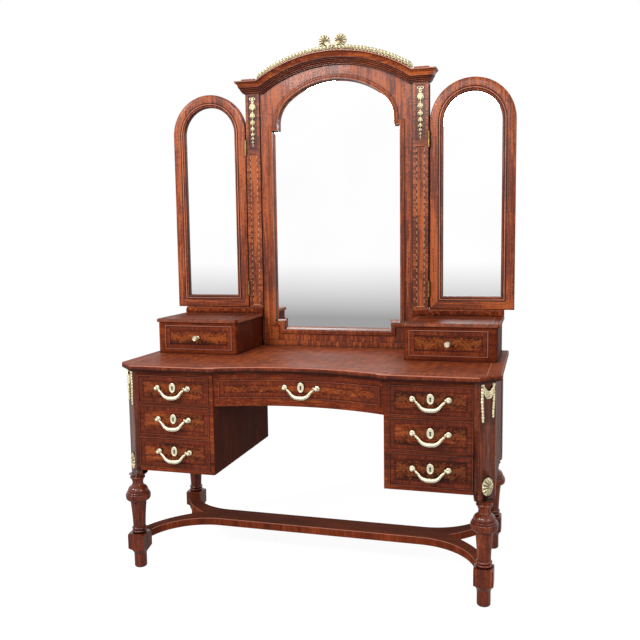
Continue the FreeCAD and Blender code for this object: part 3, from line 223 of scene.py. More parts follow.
class Sketch:
    """Adds shader nodes to a tree, one call for each node."""

    def __init__(self, tree, shader=None):
        self.tree = tree
        self.shader = shader

    def put(self, socket, value):
        if isinstance(value, Value):
            self.tree.links.new(value.socket, socket)
        else:
            socket.default_value = value

    def node(self, kind, values=None, **attributes):
        """New node; the outputs come back by name or by number."""
        node = self.tree.nodes.new(kind)
        for name, value in attributes.items():
            setattr(node, name, value)
        for name, value in (values or {}).items():
            self.put(node.inputs[name], value)
        return self.outputs(node)

    def outputs(self, node):
        outputs = dict(enumerate(Value(self, socket) for socket in node.outputs))
        outputs.update({socket.name: Value(self, socket) for socket in reversed(node.outputs)})
        return outputs

    def maths(self, operation, *values, clamp=False):
        return self.node("ShaderNodeMath", dict(enumerate(values)), operation=operation, use_clamp=clamp)[0]

    def rise(self, value, low, high):
        """Smooth step from 0 at low to 1 at high."""
        values = dict(enumerate((value, low, high, 0.0, 1.0)))
        return self.node("ShaderNodeMapRange", values, interpolation_type="SMOOTHSTEP")[0]

    def fall(self, value, low, high, top=1.0):
        """Smooth step from the top at low to 0 at high."""
        return top - self.rise(value, low, high) * top

    def mix(self, factor, first, second):
        return self.node("ShaderNodeMix", {0: factor, 6: first, 7: second}, data_type="RGBA")[2]

    def tint(self, colour, mask, strength, over):
        """Lays a colour over another where the mask is 1."""
        return self.mix(mask * strength, colour, over[:])

    def line(self, colour, far, low, high, strength, over):
        """Lays a line over a colour: whole up to low from its middle, gone at high."""
        return self.mix(self.fall(far, low, high, strength), colour, over[:])

    def grooves(self, colour, depth, places):
        """Painted shade in the grooves at places down a moulding, each with its reach."""
        for place, reach in places:
            far = abs(depth - place)
            colour = self.line(colour, far, reach * 0.5, reach * 1.3, 0.85, settings().woods.inlay_and_groove_shade)
        return colour

    def position(self):
        return self.node("ShaderNodeTexCoord")["Object"]

    def place(self):
        """Object coordinates as three numbers."""
        parts = self.node("ShaderNodeSeparateXYZ", {0: self.position()})
        return parts[0], parts[1], parts[2]

    def facing(self, axis):
        """Part of the surface normal along an axis."""
        normal = self.node("ShaderNodeNewGeometry")["Normal"]
        return self.node("ShaderNodeSeparateXYZ", {0: normal})[axis]

    def vector(self, x, y, z):
        return self.node("ShaderNodeCombineXYZ", {0: x, 1: y, 2: z})[0]

    def noise(self, vector, stretch, detail=3.0, rough=0.55, warp=0.0):
        """Noise of unit scale on a vector stretched along its three axes."""
        scaled = self.node("ShaderNodeMapping", {"Vector": vector, "Scale": stretch})["Vector"]
        return self.plain_noise(scaled, 1.0, detail, rough, warp)

    def plain_noise(self, vector, scale, detail=3.0, rough=0.55, warp=0.0):
        values = {"Vector": vector, "Scale": scale, "Detail": detail, "Roughness": rough, "Distortion": warp}
        return self.node("ShaderNodeTexNoise", values)["Fac"]

    def cells(self, vector, scale):
        """Distance to the nearest edge between irregular cells."""
        values = {"Vector": vector, "Scale": scale}
        return self.node("ShaderNodeTexVoronoi", values, feature="DISTANCE_TO_EDGE")["Distance"]

    def hollow(self, distance, samples):
        """1 on open faces, falling to 0 in hollows."""
        return self.node("ShaderNodeAmbientOcclusion", {"Distance": distance}, samples=samples)["AO"]

    def paint(self, colour, roughness, numbers):
        """Colour, roughness and fixed numbers of the finish."""
        self.put(self.shader.inputs["Base Color"], colour)
        self.put(self.shader.inputs["Roughness"], roughness)
        for name, number in numbers.items():
            self.shader.inputs[name].default_value = number

    def bump(self, height, strength, distance, invert=False):
        values = {"Height": height, "Strength": strength, "Distance": distance}
        self.put(self.shader.inputs["Normal"], self.node("ShaderNodeBump", values, invert=invert)[0])

    def shared(self, group, values):
        return self.node("ShaderNodeGroup", values, node_tree=group)

    def panel(self, across, up, half_width, half_height, line):
        """Masks of an inlaid panel."""
        values = {"Across": across, "Up": up, "Half Width": half_width, "Half Height": half_height, "Line": line}
        return self.shared(inlaid_panel(), values)


def shared_group(name, inputs, outputs, fill):
    """A shader node group, made once and used by several finishes."""
    tree = bpy.data.node_groups.get(name)
    if tree:
        return tree
    tree = bpy.data.node_groups.new(name, "ShaderNodeTree")
    for label in inputs:
        kind = "NodeSocketVector" if label == "Vector" else "NodeSocketFloat"
        tree.interface.new_socket(label, in_out="INPUT", socket_type=kind)
    for label in outputs:
        tree.interface.new_socket(label, in_out="OUTPUT", socket_type="NodeSocketFloat")
    sketch = Sketch(tree)
    entry = sketch.node("NodeGroupInput")
    leave = tree.nodes.new("NodeGroupOutput")
    for label, value in fill(sketch, entry).items():
        sketch.put(leave.inputs[label], value)
    return tree


def wood_figure():
    """Fine streaks, broad drift, curled figure and open pores; the grain runs along the vector's X."""
    def fill(sketch, entry):
        vector = entry["Vector"]
        hair = sketch.noise(vector, (11.0, 330.0, 330.0), 3.0, 0.6, 0.3)
        streak = sketch.noise(vector, (5.0, 85.0, 85.0), 4.0, 0.6, 0.9)
        broad = sketch.noise(vector, (2.0, 7.0, 7.0), 3.0, 0.5, 1.0)
        flame = sketch.noise(vector, (105.0, 62.0, 62.0), 3.0, 0.65, 1.8)
        pore = sketch.noise(vector, (70.0, 900.0, 900.0), 2.0, 0.5)
        tone = hair * 0.24 + streak * 0.30 + broad * 0.24 + flame * 0.22
        gain = entry["Contrast"] * 4.2
        tone = sketch.maths("MULTIPLY_ADD", tone - 0.5, gain, 0.5, clamp=True)
        return {"Tone": tone, "Pore": sketch.rise(pore, 0.60, 0.72)}
    return shared_group("Wood figure", ("Vector", "Contrast"), ("Tone", "Pore"), fill)


def inlaid_panel():
    """Masks of a panel: cockbead, stringing and field, by the distance inside its edge."""
    def fill(sketch, entry):
        side = entry["Half Width"] - abs(entry["Across"])
        end = entry["Half Height"] - abs(entry["Up"])
        inside = sketch.maths("MINIMUM", side, end)
        return {
            "Inside": inside,
            "Upright": sketch.maths("LESS_THAN", side, end),
            "Bead": sketch.fall(inside, 0.0026, 0.0034),
            "String": sketch.fall(abs(inside - entry["Line"]), 0.0005, 0.0012),
            "Field": sketch.rise(inside, entry["Line"], entry["Line"] + 0.0008),
        }
    inputs = ("Across", "Up", "Half Width", "Half Height", "Line")
    return shared_group("Inlaid panel", inputs, ("Inside", "Upright", "Bead", "String", "Field"), fill)


SCROLL_LEAVES = ((0.0, 0.9, 0.35), (0.25, -0.6, -0.2), (0.5, -0.9, -0.35), (0.75, 0.6, 0.2))


def leaf_scroll():
    """Running leaf scroll, mirrored about its middle, as a mask; each leaf has a start, a lean and a lift."""
    def fill(sketch, entry):
        along = abs(entry["Across"])
        up, period, height = entry["Up"], entry["Period"], entry["Height"]
        phase = along / period
        stem = abs(up - sketch.maths("SINE", phase * math.tau) * height)
        mask = sketch.fall(stem, 0.0007, 0.0014)
        for start, lean, lift in SCROLL_LEAVES:
            local = (sketch.maths("FRACT", phase - start) - 0.5) * period
            above = up - height * lift
            cos, sin = math.cos(lean), math.sin(lean)
            u = (local * cos + above * sin) / (period * 0.34)
            v = (above * cos - local * sin) / (height * 0.34)
            bent = v + u * u * 0.7
            reach = u * u + bent * bent
            mask = sketch.maths("MAXIMUM", mask, sketch.fall(reach, 0.8, 1.0))
        flat = sketch.vector(along, up, 0.0)
        lobes = sketch.rise(sketch.cells(flat, 135.0), 0.03, 0.12)
        mask = mask * (lobes * 0.75 + 0.25)
        curl = sketch.plain_noise(flat, 44.0, 1.5, 0.5, 2.4)
        return {"Leaf": sketch.maths("MAXIMUM", mask, sketch.fall(abs(curl - 0.5), 0.015, 0.045, 0.75))}
    return shared_group("Leaf scroll", ("Across", "Up", "Period", "Height"), ("Leaf",), fill)


def polish(sketch, colour, figure, roughness=0.34, gloss=None, shine=0.2, matt=None):
    """French polish over open-pored wood; it is gone where matt is 1."""
    woods = settings().woods
    wear_and_highlight = sketch.noise(sketch.position(), (7.0, 7.0, 7.0), 4.0)
    colour = sketch.tint(colour, figure["Pore"], 0.45, woods.dark)
    # Painted shade: ambient occlusion darkens the wood in hollows and corners
    colour = sketch.line(colour, sketch.hollow(0.014, 6), 0.35, 0.92, 0.9, srgb(20, 7, 5))
    rough = wear_and_highlight * 0.22 + (roughness - 0.11)
    if matt is not None:
        rough = sketch.maths("MULTIPLY_ADD", matt, 0.40, rough, clamp=True)
    coat = woods.gloss if gloss is None else gloss
    sketch.paint(colour, rough, {"Specular IOR Level": shine, "Coat Weight": coat, "Coat Roughness": 0.06})
    sketch.bump(figure["Pore"], 0.25, 0.00004, invert=True)


def veneer(sketch, grain, shift=0.0, rose=0.0, contrast=1.0):
    """Veneer colour and its figure, with the grain along the first of the three numbers."""
    woods = settings().woods
    if isinstance(grain, tuple):
        grain = sketch.vector(*grain)
    figure = sketch.shared(wood_figure(), {"Vector": grain, "Contrast": contrast})
    tone = sketch.maths("ADD", figure["Tone"], shift, clamp=True)
    low = sketch.mix(sketch.maths("MULTIPLY", tone, 2.0, clamp=True), woods.dark[:], woods.middle[:])
    colour = sketch.mix(sketch.maths("MULTIPLY_ADD", tone, 2.0, -1.0, clamp=True), low, woods.light[:])
    if rose:
        colour = sketch.mix(rose, colour, woods.rose[:])
    return colour, figure


def plain_back(sketch, colour, figure, y):
    """Plain, unpolished boards on the faces that look to the wall."""
    woods = settings().woods
    behind = sketch.rise(sketch.facing(1), 0.7, 0.8) * sketch.rise(y, 0.25, 0.26)
    boards = sketch.mix(figure["Tone"] * 0.55, woods.back[:], woods.dark[:])
    return sketch.mix(behind, colour, boards)


def moulded_wood(sketch):
    """Plain mouldings with upright grain."""
    x, y, z = sketch.place()
    colour, figure = veneer(sketch, (z, x, y), 0.12, 0.20, 1.1)
    polish(sketch, colour, figure, shine=0.1)


def wing_wood(sketch):
    """Round-arched frames: bent-looking grain, a painted highlight along the bead and painted shade in the grooves
    beside the bead and the glass.
    """
    woods = settings().woods
    x, y, z = sketch.place()
    across = abs(x) - WING_X
    above = sketch.maths("MAXIMUM", z - WING_SPRING, 0.0)
    foot = z - WING_FOOT
    round_inset = WING_RADIUS - sketch.maths("SQRT", across * across + above * above)
    inset = sketch.maths("MINIMUM", round_inset, foot)
    level = sketch.maths("LESS_THAN", foot, WING_RADIUS - abs(across))
    grain = sketch.mix(level, sketch.vector(z, x, y), sketch.vector(x, z, y))
    colour, figure = veneer(sketch, grain, 0.14, 0.20, 2.6)
    colour = sketch.line(colour, abs(z - WING_SPRING), 0.0003, 0.0009, 0.5, woods.inlay_and_groove_shade)
    # Painted highlight along the bead
    colour = sketch.line(colour, abs(inset - 0.0375), 0.0008, 0.0020, 0.5, woods.arris)
    # Painted shade in the grooves
    colour = sketch.grooves(colour, inset, ((0.0333, 0.0024), (0.0424, 0.0018), (0.0502, 0.0030)))
    polish(sketch, colour, figure)


def cornice_wood(sketch):
    """Cornice: top fillet with a painted highlight, red cove, and a reeded band and grooves darkened with painted
    shade, by the drop below its top edge.
    """
    woods = settings().woods
    x, y, z = sketch.place()
    rise = z - ARCH_Z
    arch = CORNICE_RADIUS - sketch.maths("SQRT", x * x + rise * rise)
    drop = sketch.maths("MAXIMUM", arch, CORNICE_TOP - z)
    colour, figure = veneer(sketch, (x, y, z), 0.20, 0.10, 1.4)
    shaded_reeds = sketch.rise(drop, 0.0255, 0.0265) * sketch.fall(drop, 0.0445, 0.0455)
    # Painted shade over the reeded band under the cove
    colour = sketch.tint(colour, shaded_reeds, 0.30, woods.dark)
    # Painted highlight along the top fillet
    colour = sketch.line(colour, drop, 0.0048, 0.0054, 0.40, woods.arris)
    places = ((0.0060, 0.0015), (0.0264, 0.0018), (0.0329, 0.0015), (0.0389, 0.0015), (0.0450, 0.0016))
    # Painted shade in the grooves
    polish(sketch, sketch.grooves(colour, drop, places), figure, shine=0.12)


def turned_wood(sketch):
    """Legs and posts: quiet grain, and a lighter framed panel on the canted faces of the front posts."""
    woods = settings().woods
    x, y, z = sketch.place()
    colour, figure = veneer(sketch, (z, x, y), -0.05, 0.0, 0.9)
    reach = abs(x)
    middle = sum(sum(point) for point in CANT) / 2
    panel = sketch.panel((reach + y - middle) * math.sqrt(0.5), z - 0.550, 0.0205, 0.175, 0.003)
    depth = sum(point[0] - point[1] for point in CANT) / 2
    inside = sketch.fall(abs(reach - y - depth), 0.001, 0.002) * sketch.rise(panel["Inside"], 0.0, 0.0006)
    inner = veneer(sketch, (z, x, y), 0.20, 0.0, 1.0)[0]
    inner = sketch.tint(inner, sketch.rise(z, 0.585, 0.615), 0.7, woods.inlay_and_groove_shade)
    inner = sketch.tint(inner, panel["String"], 0.8, woods.inlay_and_groove_shade)
    polish(sketch, sketch.mix(inside, colour, inner), figure, gloss=woods.turned_gloss, shine=0.12)


def drawer_veneer(sketch, front, tone, field_tone, scroll, period, edge=0.1, face=None):
    """Drawer front: cockbead, crossband, dark stringing and a field inlaid with a leaf scroll."""
    woods = settings().woods
    centre_x, centre_z, half_width, half_height = front
    x, y, z = sketch.place()
    across, up = abs(x) - centre_x, z - centre_z
    panel = sketch.panel(across, up, half_width, half_height, 0.019)
    field, figure = veneer(sketch, (x, y, z), field_tone, 0.0, 1.4)
    upright = veneer(sketch, (x, z, y), tone, 0.0, 0.9)[0]
    level = veneer(sketch, (z, x, y), tone, 0.0, 0.9)[0]
    band = sketch.mix(0.2, sketch.mix(panel["Upright"], level, upright), woods.band[:])
    values = {"Across": across, "Up": up, "Period": period, "Height": half_height * 0.36}
    leaf = sketch.shared(leaf_scroll(), values)["Leaf"] * sketch.rise(panel["Inside"], 0.021, 0.027)
    vein = sketch.plain_noise(sketch.position(), 300.0, 2.0)
    field = sketch.mix(leaf * scroll, field, sketch.mix(vein, woods.leaf[:], woods.middle[:]))
    colour = sketch.mix(panel["Field"], band, field)
    colour = sketch.tint(colour, panel["String"], 0.8, woods.inlay_and_groove_shade)
    # Painted highlight: the cockbead is mixed towards the edge colour by the share edge
    bead = sketch.mix(edge, upright, woods.arris[:])
    bead_mask = panel["Bead"] if face is None else panel["Bead"] * sketch.fall(y, face, face + 0.001)
    polish(sketch, sketch.mix(bead_mask, colour, bead), figure, shine=0.12)


def case_veneer(sketch):
    """Sides, rails and posts of the pedestals and the frieze, darker towards the kneehole with painted shade, and
    with a painted sheen on the outer sides.
    """
    x, y, z = sketch.place()
    level, figure = veneer(sketch, (x, z, y), -0.06, 0.0, 0.8)
    side = veneer(sketch, (z, y, x), -0.08, 0.0, 0.7)[0]
    sideways = sketch.rise(abs(sketch.facing(0)), 0.7, 0.8)
    colour = sketch.mix(sideways, level, side)
    kneehole = sideways * sketch.fall(abs(x), 0.34, 0.36)
    # Painted shade on the inner sides of the kneehole
    colour = sketch.tint(colour, kneehole, 0.6, srgb(56, 24, 13))
    # Painted sheen: a light tint on the outer sides of the pedestals
    colour = sketch.tint(colour, sideways * sketch.rise(abs(x), 0.62, 0.63), 0.2, srgb(124, 84, 56))
    colour = plain_back(sketch, colour, figure, y)
    polish(sketch, colour, figure, 0.42, gloss=0.04, shine=0.1, matt=kneehole)


def top_veneer(sketch):
    """Table top: parquetry field, crossbanded border with a light line, banded edge with painted shade on its lower
    part and a painted highlight along its top edge.
    """
    woods = settings().woods
    x, y, z = sketch.place()
    tile = 0.042
    a, b = abs(x) + y, abs(x) - y
    odd = abs(sketch.maths("FLOOR", a / tile) + sketch.maths("FLOOR", b / tile)) % 2.0
    one, figure = veneer(sketch, (a, b, z), 0.17, 0.10)
    field = sketch.mix(odd, one, veneer(sketch, (b, a, z), 0.05, 0.10)[0])
    joint = sketch.maths("MINIMUM", sketch.maths("PINGPONG", a, tile), sketch.maths("PINGPONG", b, tile))
    field = sketch.line(field, joint, 0.0004, 0.0012, 0.45, woods.inlay_and_groove_shade)
    panel = sketch.panel(x, y, TOP_HALF, -TOP_FRONT, 0.045)
    bow = sketch.maths("MAXIMUM", x * x * -0.66 + -0.234, TOP_FRONT)
    inside = sketch.maths("MINIMUM", panel["Inside"], y - bow)
    side_band = veneer(sketch, (x, y, z), 0.06, 0.15)[0]
    end_band = veneer(sketch, (y, x, z), 0.06, 0.15)[0]
    band = sketch.mix(panel["Upright"], end_band, side_band)
    colour = sketch.mix(sketch.fall(inside, 0.0445, 0.0452), field, band)
    colour = sketch.line(colour, abs(inside - 0.045), 0.0006, 0.0014, 0.7, woods.line)
    fascia = veneer(sketch, (z, x, y), -0.10, 0.0, 0.8)[0]
    # Painted shade: the fascia darkens towards its lower edge
    fascia = sketch.line(fascia, z, 0.7435, 0.7515, 0.85, srgb(30, 8, 5))
    colour = sketch.mix(sketch.fall(z, 0.7555, 0.7565), colour, fascia)
    # Painted highlight along the top edge
    wear_and_highlight = sketch.rise(z, 0.7560, 0.7575) * sketch.fall(inside, 0.001, 0.003)
    polish(sketch, sketch.tint(colour, wear_and_highlight, 0.75, woods.arris), figure, 0.60, shine=0.13)


def stretcher_veneer(sketch):
    """Stretcher: plain brown top, and a crossbanded edge with dark tablets and a painted highlight along its lip."""
    woods = settings().woods
    x, y, z = sketch.place()
    top, figure = veneer(sketch, (x, y, z), -0.12, 0.0, 0.7)
    top = sketch.mix(0.2, top, srgb(104, 60, 32))
    edge = veneer(sketch, (z, x, y), -0.04, 0.1, 0.8)[0]
    upright = sketch.fall(abs(sketch.facing(2)), 0.5, 0.7)
    tablet = abs(sketch.maths("PINGPONG", abs(x), 0.13) - 0.065)
    edge = sketch.line(edge, tablet, 0.010, 0.011, 0.3, woods.inlay_and_groove_shade)
    colour = sketch.mix(upright, top, edge)
    # Painted highlight along the top of the edge
    colour = sketch.tint(colour, upright * sketch.rise(z, 0.1285, 0.1300), 0.6, woods.arris)
    polish(sketch, colour, figure, 0.58, gloss=0.0, shine=0.03)


def frame_veneer(sketch):
    """Mirror frame: figured boards, and pilasters with crossbanded, string-lined panels."""
    woods = settings().woods
    x, y, z = sketch.place()
    board, figure = veneer(sketch, (z, x, y), 0.14, 0.18, 2.7)
    across = abs(x) - PILASTER_X
    low = sketch.panel(across, z - 1.2315, 0.0165, 0.3065, 0.002)["Inside"]
    pilaster = sketch.rise(abs(x), 0.3079, 0.3081) * sketch.fall(y, 0.276, 0.278)
    cross = veneer(sketch, (x, z, y), 0.06, 0.20, 2.4)[0]
    inner = veneer(sketch, (z, x, y), 0.12, 0.14, 2.7)[0]
    wood = sketch.mix(sketch.rise(low, 0.0, 0.0005), cross, inner)
    dashes = sketch.rise(sketch.maths("PINGPONG", z, 0.012), 0.0045, 0.0060)
    line = sketch.fall(abs(low - 0.002), 0.0010, 0.0016)
    wood = sketch.tint(wood, line, 0.8, woods.inlay_and_groove_shade)
    wood = sketch.tint(wood, line * dashes, 0.9, woods.line)
    upper = sketch.panel(across, z - 1.65975, 0.0165, 0.10575, 0.002)["Inside"]
    wood = sketch.tint(wood, sketch.rise(upper, 0.0, 0.0005), 0.45, woods.inlay_and_groove_shade)
    wood = sketch.line(wood, abs(upper + 0.0015), 0.0006, 0.0014, 0.8, woods.inlay_and_groove_shade)
    colour = sketch.mix(pilaster, board, wood)
    colour = sketch.line(colour, abs(abs(x) - 0.3078), 0.0008, 0.0018, 0.8, woods.inlay_and_groove_shade)
    polish(sketch, plain_back(sketch, colour, figure, y), figure)


def jewel_case_veneer(sketch):
    """Jewel boxes: crossbanded lid with a light line and a painted highlight along its edge, and veneered sides
    darkened with painted shade.
    """
    woods = settings().woods
    x, y, z = sketch.place()
    lid = sketch.panel(abs(x) - 0.48175, y - 0.1255, 0.17175, 0.1375, 0.03)
    field, figure = veneer(sketch, (x, y, z), -0.06, 0.0, 1.3)
    cover = sketch.mix(lid["Field"], veneer(sketch, (y, x, z), -0.08, 0.0, 1.3)[0], field)
    cover = sketch.tint(cover, lid["String"], 0.7, woods.line)
    upper = sketch.rise(z, 0.8815, 0.8825)
    body = veneer(sketch, (x, z, y), -0.06, 0.0, 0.8)[0]
    # Painted shade on the faces that look sideways
    body = sketch.tint(body, sketch.rise(abs(sketch.facing(0)), 0.7, 0.8), 0.4, woods.dark)
    colour = sketch.mix(upper, body, cover)
    # Painted highlight along the edge of the lid
    edge = upper * sketch.fall(lid["Inside"], 0.002, 0.004) * sketch.fall(y, 0.255, 0.262)
    colour = plain_back(sketch, sketch.tint(colour, edge, 0.2, woods.arris), figure, y)
    polish(sketch, colour, figure, 0.48, gloss=0.03, shine=0.05)


def gilding(sketch, gold, crackle=0.12, cells=290.0, bright=0.90):
    """Old gilding: bright where rubbing has brightened it, olive-brown between the leaves, with olive-brown painted
    shade in the hollows.
    """
    metals = settings().metals
    vector = sketch.position()
    spots = sketch.noise(vector, (420.0, 420.0, 420.0))
    seams = sketch.fall(sketch.cells(vector, cells), 0.02, 0.22)
    # Painted shade: ambient occlusion darkens the gilding in its hollows
    face = sketch.rise(sketch.hollow(0.006, 8), bright - 0.60, bright)
    lit_and_rubbed = face * sketch.maths("MULTIPLY_ADD", spots, 0.5, 0.72, clamp=True)
    lit_and_rubbed = sketch.maths("SUBTRACT", lit_and_rubbed, seams * crackle, clamp=True)
    colour = sketch.mix(lit_and_rubbed, metals.hollow_shade_and_tarnish[:], getattr(metals, gold)[:])
    sketch.paint(colour, spots * 0.2 + 0.26, {"Metallic": 0.55})
    sketch.bump(spots, 0.3, 0.0002)


def brass(sketch):
    """Aged hinge brass with spots of tarnish."""
    metals = settings().metals
    spots = sketch.noise(sketch.position(), (90.0, 90.0, 90.0), 4.0)
    colour = sketch.mix(sketch.rise(spots, 0.4, 0.7), metals.brass[:], metals.hollow_shade_and_tarnish[:])
    sketch.paint(colour, spots * 0.3 + 0.22, {"Metallic": 0.85})


def silvering(sketch):
    """Silvered plate with a faint haze."""
    haze = sketch.noise(sketch.position(), (3.0, 3.0, 3.0))
    colour = sketch.mix(sketch.rise(haze, 0.3, 0.8), settings().metals.silver[:], srgb(252, 252, 252))
    sketch.paint(colour, haze * 0.03, {"Metallic": 1.0})


def plain_boards(sketch, colour, upright):
    """Unpolished wood of the linings, or of upright backs with open joints."""
    x, y, z = sketch.place()
    grain = sketch.vector(z, x, y) if upright else sketch.vector(y, x, z)
    figure = sketch.shared(wood_figure(), {"Vector": grain, "Contrast": 0.8})
    shade = sketch.tint(colour[:], figure["Tone"], 0.6, settings().woods.middle)
    if upright:
        joint = sketch.maths("PINGPONG", x, 0.085)
        shade = sketch.line(shade, joint, 0.0003, 0.0010, 0.6, settings().woods.dark)
    sketch.paint(shade, figure["Pore"] * 0.1 + 0.66, {})
    sketch.bump(figure["Tone"], 0.2, 0.0002)


def darkness(sketch):
    """Painted shade of a keyhole: a dark sheet with faint spots."""
    spots = sketch.noise(sketch.position(), (300.0, 300.0, 300.0))
    sketch.paint(sketch.mix(spots, srgb(12, 8, 6), srgb(34, 22, 14)), 0.8, {})


def pedestal_front(level):
    return lambda sketch: drawer_veneer(
        sketch, (DRAWER_X, LEVELS[level][0], DRAWER_HALF, LEVELS[level][1]),
        -0.22, -0.22, 0.34, 0.062, face=BEAD_BACK,
    )


FINISHES = {
    "Turned wood": turned_wood,
    "Moulded wood": moulded_wood,
    "Arch moulding": wing_wood,
    "Cornice wood": cornice_wood,
    "Parquetry top": top_veneer,
    "Stretcher veneer": stretcher_veneer,
    "Mirror frame veneer": frame_veneer,
    "Jewel box veneer": jewel_case_veneer,
    "Carcase veneer": case_veneer,
    "Drawer veneer upper": pedestal_front("upper"),
    "Drawer veneer middle": pedestal_front("middle"),
    "Drawer veneer lower": pedestal_front("lower"),
    "Drawer veneer centre": lambda sketch: drawer_veneer(
        sketch, (0.0, CENTRE_DRAWER_Z, 0.285, 0.032), -0.08, -0.08, 0.30, 0.07, face=BEAD_BACK
    ),
    "Drawer veneer jewel": lambda sketch: drawer_veneer(
        sketch, (KNOB_X, KNOB_Z, 0.13825, 0.0465), -0.08, -0.25, 0.6, 0.07, edge=0.5
    ),
    "Gilding": lambda sketch: gilding(sketch, "gilt"),
    "Chased gilding": lambda sketch: gilding(sketch, "chased", 0.30, 190.0, 0.80),
    "Garland gilding": lambda sketch: gilding(sketch, "chased", 0.60, 135.0),
    "Bail gilding": lambda sketch: gilding(sketch, "gilt", 0.35, 170.0, 0.94),
    "Bow gilding": lambda sketch: gilding(sketch, "chased", 0.40, 120.0, 0.97),
    "Hinge brass": brass,
    "Silvered plate": silvering,
    "Keyhole dark": darkness,
    "Drawer lining": lambda sketch: plain_boards(sketch, settings().woods.lining, False),
    "Back boards": lambda sketch: plain_boards(sketch, settings().woods.back, True),
}


def finish(name):
    """The finish of that name, made at its first use."""
    material = bpy.data.materials.get(name)
    if material is None:
        material = bpy.data.materials.new(name)
        material.use_nodes = True
        shader = material.node_tree.nodes["Principled BSDF"]
        FINISHES[name](Sketch(material.node_tree, shader))
    return material


def piece(name, bm, material, body, sharp=35.0, merge=0.00001):
    """Turns a finished bmesh into an object that rides on a body."""
    bmesh.ops.remove_doubles(bm, verts=bm.verts, dist=merge)
    bmesh.ops.recalc_face_normals(bm, faces=bm.faces)
    mesh = bpy.data.meshes.new(name)
    bm.to_mesh(mesh)
    bm.free()
    mesh.shade_smooth()
    mesh.set_sharp_from_angle(angle=math.radians(sharp))
    mesh.materials.append(material)
    made = bpy.data.objects.new(name, mesh)
    bpy.context.scene.collection.objects.link(made)
    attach(made, body)
    return made


def flipped(bm):
    """Mirrors a whole bmesh to the other side of the table."""
    bmesh.ops.scale(bm, vec=(-1, 1, 1), verts=bm.verts)
    return bm


def everything(bm):
    return bm.verts[:] + bm.edges[:] + bm.faces[:]


def only(kind, items):
    """The vertices, edges or faces among mixed items."""
    return [item for item in items if isinstance(item, kind)]


def doubled(bm):
    """Adds the mirror image of a bmesh."""
    half = bmesh.ops.duplicate(bm, geom=everything(bm))["geom"]
    bmesh.ops.scale(bm, vec=(-1, 1, 1), verts=only(bmesh.types.BMVert, half))
    return bm


def join(whole, part):
    """Moves what is in one bmesh into another."""
    mesh = bpy.data.meshes.new("part")
    part.to_mesh(mesh)
    part.free()
    whole.from_mesh(mesh)
    bpy.data.meshes.remove(mesh)


def block(bm, centre, size):
    matrix = Matrix.Translation(centre) @ Matrix.Diagonal((*size, 1))
    return bmesh.ops.create_cube(bm, size=1.0, matrix=matrix)["verts"]


def oval(bm, centre, half_width, half_height, sides):
    """Flat oval that looks along Y."""
    matrix = Matrix.Translation(centre) @ Matrix.Rotation(math.pi / 2, 4, "X")
    matrix = matrix @ Matrix.Diagonal((half_width, half_height, 1, 1))
    return bmesh.ops.create_circle(bm, cap_ends=True, segments=sides, radius=1.0, matrix=matrix)["verts"]


def ease(bm, edges, offset, clamped=False):
    bmesh.ops.bevel(
        bm, geom=edges, offset=offset, affect="EDGES", segments=3, profile=0.5, material=-1, clamp_overlap=clamped
    )


def inset(bm, face, width, rise):
    bmesh.ops.inset_region(bm, faces=[face], thickness=width, depth=rise, use_even_offset=True, use_boundary=True)


def extruded(bm, faces, keep=False):
    """Extrudes faces in place; gives the new vertices and the new faces."""
    made = bmesh.ops.extrude_face_region(bm, geom=faces, use_keep_orig=keep)["geom"]
    return only(bmesh.types.BMVert, made), only(bmesh.types.BMFace, made)


def bowed(start, end, bulge, steps=6):
    """Points from a start to an end that swell to the right of the way by a bulge."""
    run = (end[0] - start[0], end[1] - start[1])
    length = math.hypot(*run) or 1
    out = (run[1] / length, -run[0] / length)
    points = []
    for index in range(steps + 1):
        share = index / steps
        swell = 4 * bulge * share * (1 - share)
        points.append((start[0] + run[0] * share + out[0] * swell, start[1] + run[1] * share + out[1] * swell))
    return points


def turn(bm, profile, centre, axis, across, steps):
    """Spins a profile of radius and height, in millimetres, round an axis."""
    centre, axis, across = Vector(centre), Vector(axis), Vector(across)
    verts = [bm.verts.new(centre + across * r * MM + axis * h * MM) for r, h in profile]
    edges = [bm.edges.new(pair) for pair in zip(verts, verts[1:])]
    bmesh.ops.spin(
        bm, geom=verts + edges, cent=centre, axis=axis, angle=math.tau, steps=steps,
        use_merge=True, use_duplicate=False,
    )
    bmesh.ops.remove_doubles(bm, verts=bm.verts, dist=0.000001)


def outline_face(bm, points, place):
    """One face whose corners are placed from flat points."""
    return bm.faces.new([bm.verts.new(place(*point)) for point in points])


def thicken(bm, faces, offset, keep=True):
    """Extrudes faces by an offset; the first ones are kept where the body is to be closed."""
    verts, made = extruded(bm, faces, keep)
    bmesh.ops.translate(bm, vec=offset, verts=verts)
    return made


def moulded_board(outline, front, back, front_steps, back_steps):
    """Closed ring from an outline: insets mould its front and its back, then the hole is bridged."""
    bm = bmesh.new()
    rear = outline_face(bm, outline, lambda x, z: (x, back, z))
    face = thicken(bm, [rear], (0, front - back, 0))[0]
    bmesh.ops.recalc_face_normals(bm, faces=bm.faces)
    for inner, steps in ((face, front_steps), (rear, back_steps)):
        for width, rise in steps:
            inset(bm, inner, width * MM, rise * MM)
    rims = list(set(face.edges) | set(rear.edges))
    bmesh.ops.delete(bm, geom=[face, rear], context="FACES_ONLY")
    bmesh.ops.bridge_loops(bm, edges=[edge for edge in rims if edge.is_valid])
    return bm


def swept(bm, stations, sides):
    """Skin through stations: each is a matrix that places and scales a unit ring."""
    ring = bmesh.ops.create_circle(bm, cap_ends=True, segments=sides, radius=1.0, matrix=stations[0])
    end = [ring["verts"][0].link_faces[0]]
    for before, after in zip(stations, stations[1:]):
        verts, end = extruded(bm, end, before is stations[0])
        bmesh.ops.transform(bm, matrix=after @ before.inverted(), verts=verts)


